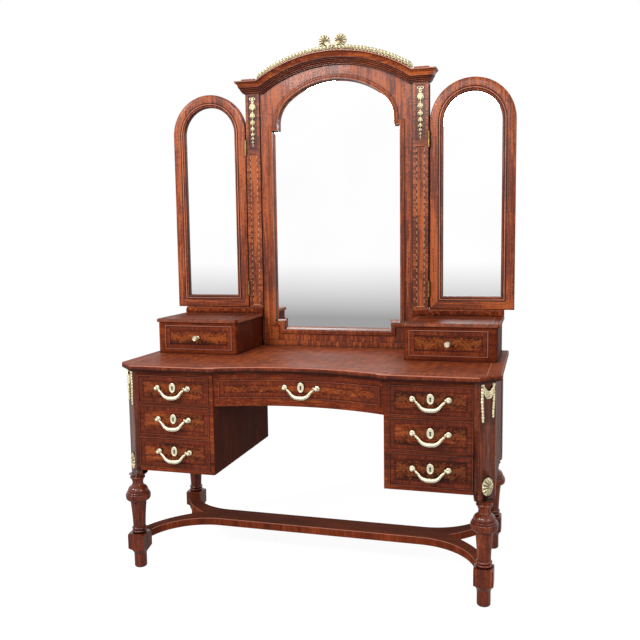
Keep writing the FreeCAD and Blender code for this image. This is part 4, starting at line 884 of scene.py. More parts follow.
def station(centre, way, beside, wide, deep):
    """Place of a ring that stands across a way."""
    way = Vector(way).normalized()
    beside = Vector(beside)
    beside = (beside - way * beside.dot(way)).normalized()
    third = way.cross(beside)
    turn_to = Matrix((beside, third, way)).transposed().to_4x4()
    return Matrix.Translation(Vector(centre)) @ turn_to @ Matrix.Diagonal((wide, deep, 1.0, 1.0))


def drawn(bm, spots, sizes, sides=8):
    """Skin drawn along spots, with a half width and a half depth at each."""
    last = len(spots) - 1
    stations = []
    for index, (wide, deep) in enumerate(sizes):
        way = spots[min(index + 1, last)] - spots[max(index - 1, 0)]
        stations.append(station(spots[index], way, (0, 1, 0), wide, deep))
    swept(bm, stations, sides)


def leaf(bm, centre, way, up, length, width, height, curl=0.0):
    """Small pointed leaf with a raised rib, lying along a way."""
    way = Vector(way).normalized()
    up = Vector(up)
    up = (up - way * up.dot(way)).normalized()
    beside = way.cross(up)
    ring = bmesh.ops.create_circle(bm, cap_ends=False, segments=8, radius=0.5)["verts"]
    for vert in ring:
        slim = 1.0 - 0.55 * abs(2 * vert.co.y) ** 1.5
        vert.co.x *= slim
    top = bmesh.ops.extrude_edge_only(bm, edges=list({edge for vert in ring for edge in vert.link_edges}))
    rib = only(bmesh.types.BMVert, top["geom"])
    for vert in rib:
        vert.co.x *= 0.12
        vert.co.y *= 0.8
        vert.co.z = 1.0
    bmesh.ops.contextual_create(bm, geom=rib)
    for vert in ring + rib:
        along, side, lift = vert.co.y, vert.co.x, vert.co.z
        lift = height * lift + curl * (along + 0.5) ** 2
        vert.co = Vector(centre) + way * (along * length) + beside * (side * width) + up * lift


def ball(radius, steps=14):
    """Half outline of a ball, from pole to pole."""
    angles = [math.pi * index / steps for index in range(steps + 1)]
    return [(radius * math.sin(angle), -radius * math.cos(angle)) for angle in angles]


def berry(length, bulge):
    """Half outline of a pointed berry along its axis."""
    return [(max(radius, 0.0), height) for radius, height in bowed((0, -length), (0, length), bulge, 10)]


def button(bm, centre, out, radius, height, sides=12, rings=3):
    """Domed boss on a face."""
    out = Vector(out).normalized()
    across = out.orthogonal().normalized()
    profile = [(radius / MM, 0.0)]
    for index in range(1, rings + 1):
        angle = math.pi / 2 * index / rings
        profile.append((radius / MM * math.cos(angle), height / MM * math.sin(angle)))
    turn(bm, profile, centre, out, across, sides)


def dress(node, material):
    """Gives a frame node a finish on all its slots."""
    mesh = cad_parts[node].data
    if not mesh.materials:
        mesh.materials.append(material)
    for index in range(len(mesh.materials)):
        mesh.materials[index] = material


class TABLE_OT_carcase(bpy.types.Operator):
    """Finishes the pedestals, the frieze, the drawers and their linings"""

    bl_idname = "dressing_table.carcase"
    bl_label = "Finish the carcase"

    def execute(self, context):
        for side in SIDES:
            dress(f"{side}_pedestal_case", finish("Carcase veneer"))
            dress(f"{side}_jewel_case", finish("Jewel box veneer"))
            dress(f"{side}_jewel_drawer_box", finish("Drawer lining"))
            for level in LEVELS:
                dress(f"{side}_{level}_drawer_front", finish(f"Drawer veneer {level}"))
                dress(f"{side}_{level}_drawer_box", finish("Drawer lining"))
            dress(f"{side}_jewel_drawer_front", finish("Drawer veneer jewel"))
        dress("centre_frieze_case", finish("Carcase veneer"))
        dress("centre_drawer_box", finish("Drawer lining"))
        dress("centre_drawer_front", finish("Drawer veneer centre"))
        dress("mirror_backboard", finish("Back boards"))
        self.fillets()
        self.caps()
        return {"FINISHED"}

    def fillets(self):
        """Upright strips in the joints between the mirror frame and the jewel boxes."""
        bm = bmesh.new()
        foot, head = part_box("right_jewel_case")[0][2], 0.912
        wide, middle = 0.0104, 0.287
        block(bm, (FRAME_HALF + wide / 2, middle, (foot + head) / 2), (wide, 0.018, head - foot))
        upright = [
            edge for edge in bm.edges
            if abs(edge.verts[0].co.z - edge.verts[1].co.z) > 0.1 and edge.verts[0].co.y < middle
        ]
        ease(bm, upright, 0.003)
        made = piece("joint_fillets", doubled(bm), finish("Moulded wood"), "case", 40)

    def caps(self):
        """Caps on the rails behind the lids of the jewel boxes."""
        bm = bmesh.new()
        block(bm, (0.5105, 0.28475, 0.9138), (0.2855, 0.0295, 0.0044))
        ease(bm, [edge for edge in bm.edges if min(vert.co.z for vert in edge.verts) > 0.9150], 0.0012)
        made = piece("rail_caps", doubled(bm), finish("Moulded wood"), "case", 40)


class TABLE_OT_top(bpy.types.Operator):
    """Lays the parquetry of the top"""

    bl_idname = "dressing_table.top"
    bl_label = "Lay the top"

    def execute(self, context):
        dress("top_slab", finish("Parquetry top"))
        return {"FINISHED"}


class TABLE_OT_legs(bpy.types.Operator):
    """Turns the four legs and their posts"""

    bl_idname = "dressing_table.legs"
    bl_label = "Turn the legs"

    def execute(self, context):
        for side, sign in SIDES.items():
            for place, y in (("front", FRONT_LEG_Y), ("rear", REAR_LEG_Y)):
                bm = self.leg(y, place == "front")
                if sign < 0:
                    flipped(bm)
                made = piece(f"{side}_{place}_turned_leg", bm, finish("Turned wood"), "case", 40)
                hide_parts(f"{side}_{place}_leg")
        return {"FINISHED"}

    def profile(self):
        """Radius and height of the turning, from the foot to the post."""
        corner = settings().turnings.eased_corner / MM
        points = [(0, 0), (14, 0)] + bowed((16.5, 0.6), (22.5, 8), 1.8) + [(22.5, 47)]
        points += bowed((22.5, 50), (corner, 75), -4.5, 10) + [(corner, 126)]
        points += bowed((corner, 127), (26, 131.5), 2.0, 8) + [(22.8, 132)]
        points += bowed((23, 132.5), (23, 143), 3.9, 8) + [(22, 143.4)]
        points += bowed((23, 143.8), (23, 154), 3.9, 8) + [(22, 154.5)]
        points += bowed((22.2, 155), (29, 249), -1.0, 10) + [(31.2, 250), (31.5, 252)]
        points += bowed((31.5, 252.5), (44.6, 265), 3.4, 8) + [(44.6, 274)]
        points += bowed((44.6, 274.4), (41.6, 279.6), 1.4, 6) + [(40.6, 280)]
        points += bowed((40.6, 280.6), (37.6, 286.6), 2.0, 6) + [(36.6, 287)]
        points += bowed((36.6, 287.6), (21.5, 309), 4.4, 10)
        points += bowed((21.3, 310), (23.6, 333), -3.0, 10) + [(24, 333.4)]
        points += bowed((24, 333.8), (24, 343.6), 3.4, 8) + [(24.6, 344)]
        points += bowed((25, 344.4), (31, 351), -1.0, 4) + [(0, 351)]
        return points

    def leg(self, y, canted):
        centre = Vector((LEG_X, y, 0))
        half = settings().turnings.block_half
        bm = bmesh.new()
        turn(bm, self.profile(), centre, (0, 0, 1), (1, 0, 0), settings().turnings.steps)
        for vert in bm.verts:
            if 0.050 < vert.co.z < 0.132:
                vert.co.x = LEG_X + max(-half, min(half, vert.co.x - LEG_X))
                vert.co.y = y + max(-half, min(half, vert.co.y - y))
        join(bm, self.post(y, canted))
        return bm

    def post(self, y, canted):
        """Corner post on a round seat; the front ones are cut across their outer corner."""
        post = bmesh.new()
        left, right = LEG_X - POST_HALF, LEG_X + POST_HALF
        low, high = y - POST_HALF, y + POST_HALF
        outline = [(left, low), (right, low), (right, high), (left, high)]
        if canted:
            outline[1:2] = CANT
        face = outline_face(post, outline, lambda px, py: (px, py, POST_FOOT))
        bmesh.ops.subdivide_edges(post, edges=face.edges[:], cuts=7)
        rising = list(post.faces)
        for height in (0.352, 0.355, 0.359, 0.364, 0.370, 0.376, 0.741):
            base = rising[0].verts[0].co.z
            rising = thicken(post, rising, (0, 0, height - base), base == POST_FOOT)
        for vert in post.verts:
            limit = 0.031 + 0.016 * min(1.0, max(0.0, (vert.co.z - POST_FOOT) / 0.022)) ** 0.6
            away = Vector((vert.co.x - LEG_X, vert.co.y - y))
            if vert.co.z < 0.3765 and away.length > limit:
                away *= limit / away.length
                vert.co.x, vert.co.y = LEG_X + away.x, y + away.y
        bmesh.ops.recalc_face_normals(post, faces=post.faces)
        upright = [
            edge for edge in post.edges
            if edge.is_manifold and edge.calc_face_angle(0) > 0.6
            and abs(edge.verts[0].co.z - edge.verts[1].co.z) > 0.001
        ]
        ease(post, upright, 0.0016, clamped=True)
        return post


class TABLE_OT_stretcher(bpy.types.Operator):
    """Veneers the stretcher"""

    bl_idname = "dressing_table.stretcher"
    bl_label = "Finish the stretcher"

    def execute(self, context):
        dress("stretcher", finish("Stretcher veneer"))
        return {"FINISHED"}


CORNICE_PROFILE = (
    [(0, 0), (33.4, 0), (34, 0.7), (34, 4.4), (33.3, 5.1), (31.4, 5.4), (31.2, 6.4)]
    + bowed((31.8, 6.8), (21.6, 24.8), -2.6, 9)
    + [(21.6, 25.6), (17.8, 25.8), (17.6, 27.2)]
    + bowed((18.6, 27.6), (17.2, 32.0), -1.5, 5) + [(15.2, 32.3), (15.0, 33.4)]
    + bowed((16.0, 33.8), (14.0, 38.0), -1.5, 5) + [(12.0, 38.3), (11.6, 39.4)]
    + bowed((12.4, 39.8), (9.6, 44.0), -1.5, 5) + [(7.0, 44.4), (5.0, 45.4)]
    + [(4.6, 45.6), (3.0, 46.0), (3.0, 48.0), (0, 48.0)]
)


class TABLE_OT_cornice(bpy.types.Operator):
    """Runs the reeded moulding of the arched cornice"""

    bl_idname = "dressing_table.cornice"
    bl_label = "Run the cornice"

    def execute(self, context):
        arch = self.arch()
        join(arch, self.end())
        made = piece("arched_cornice", arch, finish("Cornice wood"), "case", 30)
        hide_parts("cornice")
        return {"FINISHED"}

    def section(self, bm, place, back):
        """Closed section of the moulding; back is how far it runs behind the pilaster's face."""
        points = [(-back, 0)] + CORNICE_PROFILE[1:] + [(-7, 48.0), (-7, 9.5), (-back, 9.5)]
        return outline_face(bm, [(reach * MM, drop * MM) for reach, drop in points], place)

    def mitre(self, bm, side, arch):
        """Cuts the moulding at a joint between the arch and an end, and keeps one of the two."""
        way = 1 if arch else -1
        return bmesh.ops.bisect_plane(
            bm, geom=everything(bm), plane_co=(side * 0.3093, 0, CORNICE_TOP),
            plane_no=(way * side * 0.0480, 0, way * -0.0146), clear_outer=True,
        )["geom_cut"]

    def arch(self):
        bm = bmesh.new()
        start = math.radians(38)

        def place(reach, drop):
            away = CORNICE_RADIUS - drop
            return (math.sin(start) * away, PILASTER_FACE - reach, ARCH_Z + math.cos(start) * away)

        face = self.section(bm, place, 30.6)
        rim = list(face.verts) + list(face.edges)
        bmesh.ops.delete(bm, geom=[face], context="FACES_ONLY")
        bmesh.ops.spin(bm, geom=rim, cent=(0, 0, ARCH_Z), axis=(0, 1, 0), angle=-2 * start, steps=88)
        for side in (1, -1):
            bmesh.ops.holes_fill(bm, edges=only(bmesh.types.BMEdge, self.mitre(bm, side, True)))
        return bm

    def end(self):
        """Level end with its return along the side, and the board that caps it."""
        bm = bmesh.new()

        def place(reach, drop):
            return (0.280, PILASTER_FACE - reach, CORNICE_TOP - drop)

        corner, front = extruded(bm, [self.section(bm, place, 0.0)], True)
        for vert in corner:
            vert.co.x = PILASTER_OUTER + PILASTER_FACE - vert.co.y
        for vert in extruded(bm, front)[0]:
            vert.co.y = 0.2996
        self.mitre(bm, 1, False)
        block(bm, (0.338, 0.2845, 1.796), (0.060, 0.031, 0.048))
        cap = block(bm, (0.345, 0.2715, 1.8235), (0.056, 0.057, 0.007))
        ease(bm, list({edge for vert in cap for edge in vert.link_edges}), 0.0015)
        return doubled(bm)


def sight_outline(grow=0.0):
    """Opening of the centre mirror, grown outwards, from its bottom right corner round to the left."""
    spring, shoulder, corner_radius = 1.650, 0.235, 0.120
    height = 1.811 - spring
    a = shoulder - corner_radius
    b = height - corner_radius
    below = (a * a - b * b) / (2 * b)
    radius = corner_radius + grow
    crown = height + below + grow
    corner = math.atan2(below, a)
    low = spring - below
    span = math.pi / 2 - corner
    points = [
        (0.221 + grow, 0.828 - grow), (0.221 + grow, 0.862 - grow), (0.2585 + grow, 0.862 - grow),
        (0.2585 + grow, 1.625 + grow), (shoulder + grow, 1.625 + grow), (shoulder + grow, spring),
    ]
    for step in range(1, 13):
        angle = corner * step / 12
        points.append((a + radius * math.cos(angle), spring + radius * math.sin(angle)))
    for step in range(1, 16):
        angle = corner + span * step / 16
        points.append((crown * math.cos(angle), low + crown * math.sin(angle)))
    return points + [(0.0, low + crown)] + [(-x, z) for x, z in reversed(points)]


class TABLE_OT_mirror(bpy.types.Operator):
    """Moulds the sight edge of the centre mirror and bevels its glass"""

    bl_idname = "dressing_table.mirror"
    bl_label = "Mould the centre mirror"

    def execute(self, context):
        dress("mirror_frame", finish("Mirror frame veneer"))
        steps = (
            (0.6, 5.0), (1.2, 1.6), (1.6, 0.7), (1.6, -0.5), (1.0, -3.0), (1.4, -0.2), (0.6, 2.8),
            (1.2, 1.1), (1.6, 0.3), (1.8, -0.7), (1.6, -1.8), (1.2, -2.4), (2.0, -5.0), (0.6, -3.0),
        )
        bm = moulded_board(sight_outline(0.0178), 0.276, 0.280, steps, [(17.8, 0.0)])
        made = piece("mirror_moulding", bm, finish("Moulded wood"), "case", 50)
        self.glass()
        return {"FINISHED"}

    def glass(self):
        metals = settings().metals
        bm = bmesh.new()
        rear = outline_face(bm, sight_outline(0.007), lambda x, z: (x, 0.292, z))
        front = thicken(bm, [rear], (0, -0.003, 0))[0]
        bmesh.ops.recalc_face_normals(bm, faces=bm.faces)
        inset(bm, front, 0.0075, 0)
        inset(bm, front, metals.bevel_width, metals.bevel_fall)
        made = piece("bevelled_plate", bm, finish("Silvered plate"), "case", 1.0)
        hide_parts("mirror_glass")


def arch_outline(steps=40):
    """Round-arched outline of the right side mirror."""
    points = [(WING_X - WING_RADIUS, WING_FOOT), (WING_X + WING_RADIUS, WING_FOOT)]
    for index in range(steps + 1):
        angle = math.pi * index / steps
        points.append((WING_X + WING_RADIUS * math.cos(angle), WING_SPRING + WING_RADIUS * math.sin(angle)))
    return points


class TABLE_OT_wings(bpy.types.Operator):
    """Moulds the two side mirrors"""

    bl_idname = "dressing_table.wings"
    bl_label = "Mould the side mirrors"

    def execute(self, context):
        front_steps = (
            (0.4, 1.0), (1.0, 1.1), (2.0, 1.0), (3.5, 0.8), (5.0, 0.4), (6.0, 0.1), (9.6, -0.1), (5.0, -0.5),
            (0.4, -1.2), (1.2, -0.2), (0.4, 1.6), (1.2, 0.8), (2.0, 0.3), (2.0, -0.4), (1.2, -1.0), (0.4, -1.4),
            (1.0, -0.2), (0.4, 1.2), (1.0, 0.6), (1.6, -0.2), (1.2, -0.9), (2.0, -2.4), (1.6, -2.4), (0.4, -3.0),
        )
        for side, sign in SIDES.items():
            bm = moulded_board(arch_outline(), 0.2765, 0.298, front_steps, [(43.5, 0.0), (0.2, -6.8), (6.8, 0.0)])
            if sign < 0:
                flipped(bm)
            made = piece(f"{side}_moulded_arch", bm, finish("Arch moulding"), f"{side}_wing", 50)
            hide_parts(f"{side}_wing_frame")
            dress(f"{side}_wing_glass", finish("Silvered plate"))
            dress(f"{side}_wing_backboard", finish("Back boards"))
            dress(f"{side}_wing_hinge_leaves", finish("Hinge brass"))
        dress("hinge_fixed_leaves", finish("Hinge brass"))
        bm = bmesh.new()
        block(bm, (0.36895, 0.2984, 1.3450), (0.0041, 0.0026, 0.8500))
        made = piece("joint_strips", doubled(bm), finish("Turned wood"), "case", 40)
        return {"FINISHED"}


class TABLE_OT_handles(bpy.types.Operator):
    """Casts the drop handles, their posts and the key plates"""

    bl_idname = "dressing_table.handles"
    bl_label = "Cast the handles"

    def execute(self, context):
        for side, sign in SIDES.items():
            for level, (middle, _) in LEVELS.items():
                self.handle(f"{side}_{level}", sign * DRAWER_X, middle, DRAWER_FACE)
            self.knob(side, sign)
        self.handle("centre", 0.0, CENTRE_DRAWER_Z, CENTRE_FACE)
        return {"FINISHED"}

    def handle(self, name, x, middle, face):
        """Bail, posts and key plate; the centre front bows, so its seats lie deeper."""
        bowed_front = name == "centre"
        pivot = -0.22988 if bowed_front else face - 0.012
        seat = face - 0.0022 if bowed_front else face
        plate = -0.2185 if bowed_front else face
        lift = middle + 0.006
        made = piece(f"{name}_leafy_bail", self.bail(x, pivot, lift), finish("Bail gilding"), f"{name}_bail", 60)
        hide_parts(f"{name}_drawer_bail")
        bm = bmesh.new()
        rosette = [(0, -0.4), (9, -0.4), (9, 0.7)] + bowed((8.6, 1.0), (6.4, 2.2), -0.5, 4)
        rosette += [(5.8, 2.2)] + bowed((5.4, 2.4), (3.9, 4.0), 0.6, 4) + [(3.7, 7.0), (0, 7.0)]
        for sign in (1, -1):
            post = x + sign * 0.058
            turn(bm, rosette, (post, seat, lift), FORWARD, (1, 0, 0), 32)
            turn(bm, ball(6.4), (post, pivot, lift), FORWARD, (1, 0, 0), 24)
        self.key_plate(bm, x, middle + 0.008, plate)
        made = piece(f"{name}_handle_posts", bm, finish("Gilding"), f"{name}_drawer", 45)
        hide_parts(f"{name}_drawer_fittings")
        self.keyhole(name, x, middle + 0.008, plate - 0.0019)

    def key_plate(self, bm, x, z, face):
        """Oval escutcheon with a raised rim."""
        verts = oval(bm, (x, face + 0.0006, z), 0.0115, 0.017, 40)
        front = thicken(bm, [verts[0].link_faces[0]], (0, -0.0022, 0))[0]
        bmesh.ops.recalc_face_normals(bm, faces=list({face for vert in verts for face in vert.link_faces}))
        for width, rise in ((0.7, 0.5), (1.0, 0.3), (1.0, -0.3), (0.7, -0.8), (1.6, 0.1)):
            inset(bm, front, width * MM, rise * MM)

    def keyhole(self, name, x, z, face):
        """Dark sheet, round above and narrow below, that lies on the key plate as the painted shade of a keyhole."""
        bm = bmesh.new()
        angles = [math.radians(-145 + 290 * step / 12) for step in range(13)]
        points = [(0.0032 * math.sin(angle), 0.0030 + 0.0032 * math.cos(angle)) for angle in angles]
        points += [(0.0024, -0.0078), (-0.0024, -0.0078)]
        rear = outline_face(bm, points, lambda across, up: (x + across, face, z + up))
        thicken(bm, [rear], (0, -0.0004, 0))
        made = piece(f"{name}_keyhole", bm, finish("Keyhole dark"), f"{name}_drawer", 40)

    def knob(self, side, sign):
        bm = bmesh.new()
        profile = [(0, 0.0), (8.2, 0.0), (8.2, 1.2), (7.0, 2.2), (4.6, 3.0), (4.4, 8.0)]
        profile += bowed((5.0, 9.0), (9.6, 14.5), 1.4, 6) + bowed((9.8, 15.0), (7.6, 29.6), 1.6, 8)
        profile += bowed((7.2, 30.4), (5.4, 30.6), -0.5, 4) + [(4.8, 29.4), (0, 29.2)]
        turn(bm, profile, (sign * KNOB_X, -0.0135, KNOB_Z), FORWARD, (1, 0, 0), 32)
        made = piece(f"{side}_jewel_knob", bm, finish("Gilding"), f"{side}_jewel_drawer", 40)

    def bail(self, x, y, z):
        """S-curved ends that swell into a leafy middle."""
        bm = bmesh.new()
        across = (1, 1, 0.92, 0.74, 0.54, 0.28, 0)
        down = (-0.12, 0, 0.14, 0.42, 0.78, 0.97, 1)
        girth = (1.0, 0.85, 0.60, 0.85, 1.40, 1.80, 1.90)
        half = [(x + a * 0.0500, y, z - d * 0.0325) for a, d in zip(across, down)]
        other = [(2 * x - px, py, pz) for px, py, pz in reversed(half[:-1])]
        course = [Vector(spot) for spot in half + other]
        sizes = [g * 0.0036 for g in girth]
        sizes += sizes[-2::-1]
        fine, radii = self.smoothed(course, sizes)
        drawn(bm, fine, [(radius, radius) for radius in radii], 12)
        for end in (course[0], course[-1]):
            turn(bm, ball(4.2, 10), end + Vector((0, 0, -0.001)), (1, 0, 0), (0, 0, 1), 20)
        count = len(fine)
        for index in range(13, count - 13, 2):
            way = (fine[index + 1] - fine[index - 1]).normalized()
            if index > count // 2:
                way = -way
            outward = way.cross(Vector((0, 1, 0))) * (1 if index > count // 2 else -1)
            for tilt in (-0.9, 0.0, 0.9):
                out = FORWARD * math.cos(tilt) + outward * math.sin(tilt)
                spot = fine[index] + out * radii[index] * 0.75
                leaf(bm, spot, way * 0.9 + out * 0.45, out, 0.0092, 0.0058, 0.0018)
        return bm

    def smoothed(self, course, sizes):
        """Six spots for each step of a course, on a smooth curve, with their sizes."""
        fine, radii = [], []
        for index in range(len(course) - 1):
            p0, p1, p2 = course[max(index - 1, 0)], course[index], course[index + 1]
            p3 = course[min(index + 2, len(course) - 1)]
            for part in range(6):
                t = part / 6
                straight = 2 * p1 + (p2 - p0) * t
                square = (2 * p0 - 5 * p1 + 4 * p2 - p3) * t * t
                cube = (3 * p1 - p0 - 3 * p2 + p3) * t ** 3
                fine.append(0.5 * (straight + square + cube))
                radii.append(sizes[index] + (sizes[index + 1] - sizes[index]) * t)
        return fine + [course[-1]], radii + [sizes[-1]]


class TABLE_OT_crest(bpy.types.Operator):
    """Casts the laurel garland and the ribbon bow"""

    bl_idname = "dressing_table.crest"
    bl_label = "Cast the crest"

    def execute(self, context):
        bm = bmesh.new()
        self.garland(bm)
        made = piece("laurel_crest", bm, finish("Garland gilding"), "case", 50)
        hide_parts("gilt_crest")
        bm = bmesh.new()
        self.bow(bm)
        made = piece("ribbon_bow", bm, finish("Bow gilding"), "case", 50)
        return {"FINISHED"}

    def garland(self, bm):
        """Two laurel branches that meet below the bow, with leaves, berries and bud tips."""
        radius = 0.5745
        limit = math.asin(0.300 / radius)
        count = 46

        def spot(sign, share):
            """Place, way and outward direction at a share of the way to the middle."""
            angle = sign * limit * (1 - share)
            outward = Vector((math.sin(angle), 0, math.cos(angle)))
            way = Vector((-sign * math.cos(angle), 0, sign * math.sin(angle)))
            place = Vector((math.sin(angle) * radius, 0.258, ARCH_Z + math.cos(angle) * radius))
            return place, way, outward

        for sign in (1, -1):
            stations = []
            for index in range(21):
                centre, way, _ = spot(sign, index / 20)
                size = 0.0074 if 0 < index < 20 else 0.0048
                stations.append(station(centre, way, (0, 1, 0), size, size))
            swept(bm, stations, 8)
            for index in range(count):
                centre, way, outward = spot(sign, index / count)
                for tilt in ((-1.2, -0.25, 0.7, 1.7) if index % 2 else (-0.75, 0.25, 1.2, 2.2)):
                    out = FORWARD * math.cos(tilt) + outward * math.sin(tilt)
                    leaf(bm, centre + out * 0.0072, way + out * 0.46, out, 0.0200, 0.0112, 0.0038)
                if index % 3 == 0:
                    side = FORWARD * 0.85 + outward * (0.5 if index % 2 else -0.5)
                    button(bm, centre + side * 0.0078, side, 0.0027, 0.0029, 8, 2)
            tip = spot(sign, 0.0)[0] + Vector((sign * 0.0055, 0, -0.0025))
            turn(bm, berry(7, 6.6), tip, (sign, 0, -0.5), (0, 1, 0), 20)

    def bow(self, bm):
        """Two pleated loops, a knot and two short tails."""
        knot = Vector((0, 0.257, 1.9215))
        for sign in (1, -1):
            centre = knot + Vector((sign * 0.0325, -0.001, 0.0280))
            disc = [(24.5, 0), (22, 1.2), (0, 1.6)]
            turn(bm, disc, centre + Vector((0, 0.003, 0)), FORWARD, (1, 0, 0), 32)
            hub = centre.lerp(knot, 0.22) + Vector((0, -0.003, 0))
            for index in range(12):
                angle = math.tau * (index + 0.5) / 12
                across, wave, up = sign * math.cos(angle) * 0.0235, math.sin(index * 2.6), math.sin(angle) * 0.0235
                self.pleat(bm, hub, centre + Vector((across, 0.002 * wave, up)), 0.0044)
            button(bm, hub, FORWARD, 0.0042, 0.0050, 16, 4)
            for lean in (-0.004, 0.004):
                foot = knot + Vector((sign * 0.002, -0.003, 0.004))
                middle = knot.lerp(hub, 0.5) + Vector((lean, -0.004, 0))
                self.ribbon(bm, [foot, middle, hub + Vector((lean, 0, 0))], 0.0030, 0.0052)
            tail = (
                (0.004, -0.002), (0.020, -0.007), (0.038, -0.004), (0.056, -0.009), (0.074, -0.006), (0.086, -0.011),
            )
            self.ribbon(bm, [knot + Vector((sign * a, -0.006, b)) for a, b in tail], 0.0046, 0.0020)
        turn(bm, berry(9.5, 9.0), knot + Vector((0, -0.002, 0.003)), (0, 0, 1), FORWARD, 20)
        for index in range(5):
            spot = knot + Vector(((index - 2) * 0.0036, -0.0095, 0.003))
            leaf(bm, spot, (0, 0, 1), FORWARD, 0.017, 0.0030, 0.0016)

    def pleat(self, bm, start, end, wide):
        """Tapered fold that widens from the knot to the edge of a loop."""
        run = end - start
        stations = []
        for part in range(9):
            share = part / 8
            size = 0.0008 + wide * share ** 1.2 * (1.0 if part < 8 else 0.5)
            rise = 0.0010 + 0.0030 * math.sin(math.pi * min(share + 0.08, 1.0)) + 0.0008 * share
            stations.append(station(start + run * share, run, (0, 1, 0), rise, size))
        swept(bm, stations, 8)

    def ribbon(self, bm, spots, wide, thick):
        pulses = [1.0 + 0.18 * math.sin(index * 2.1) for index in range(len(spots))]
        drawn(bm, spots, [(wide * pulse, thick) for pulse in pulses])


def on_cant(side):
    """Matrix from (across, out, up) on the canted post face to the table."""
    first, second = Vector((*CANT[0], 0)), Vector((*CANT[1], 0))
    along = (second - first).normalized()
    out = Vector((along.y, -along.x, 0))
    middle = (first + second) / 2
    matrix = Matrix((along, out, (0, 0, 1))).transposed().to_4x4()
    matrix = Matrix.Translation(middle) @ matrix
    return Matrix.Diagonal((side, 1, 1, 1)) @ matrix


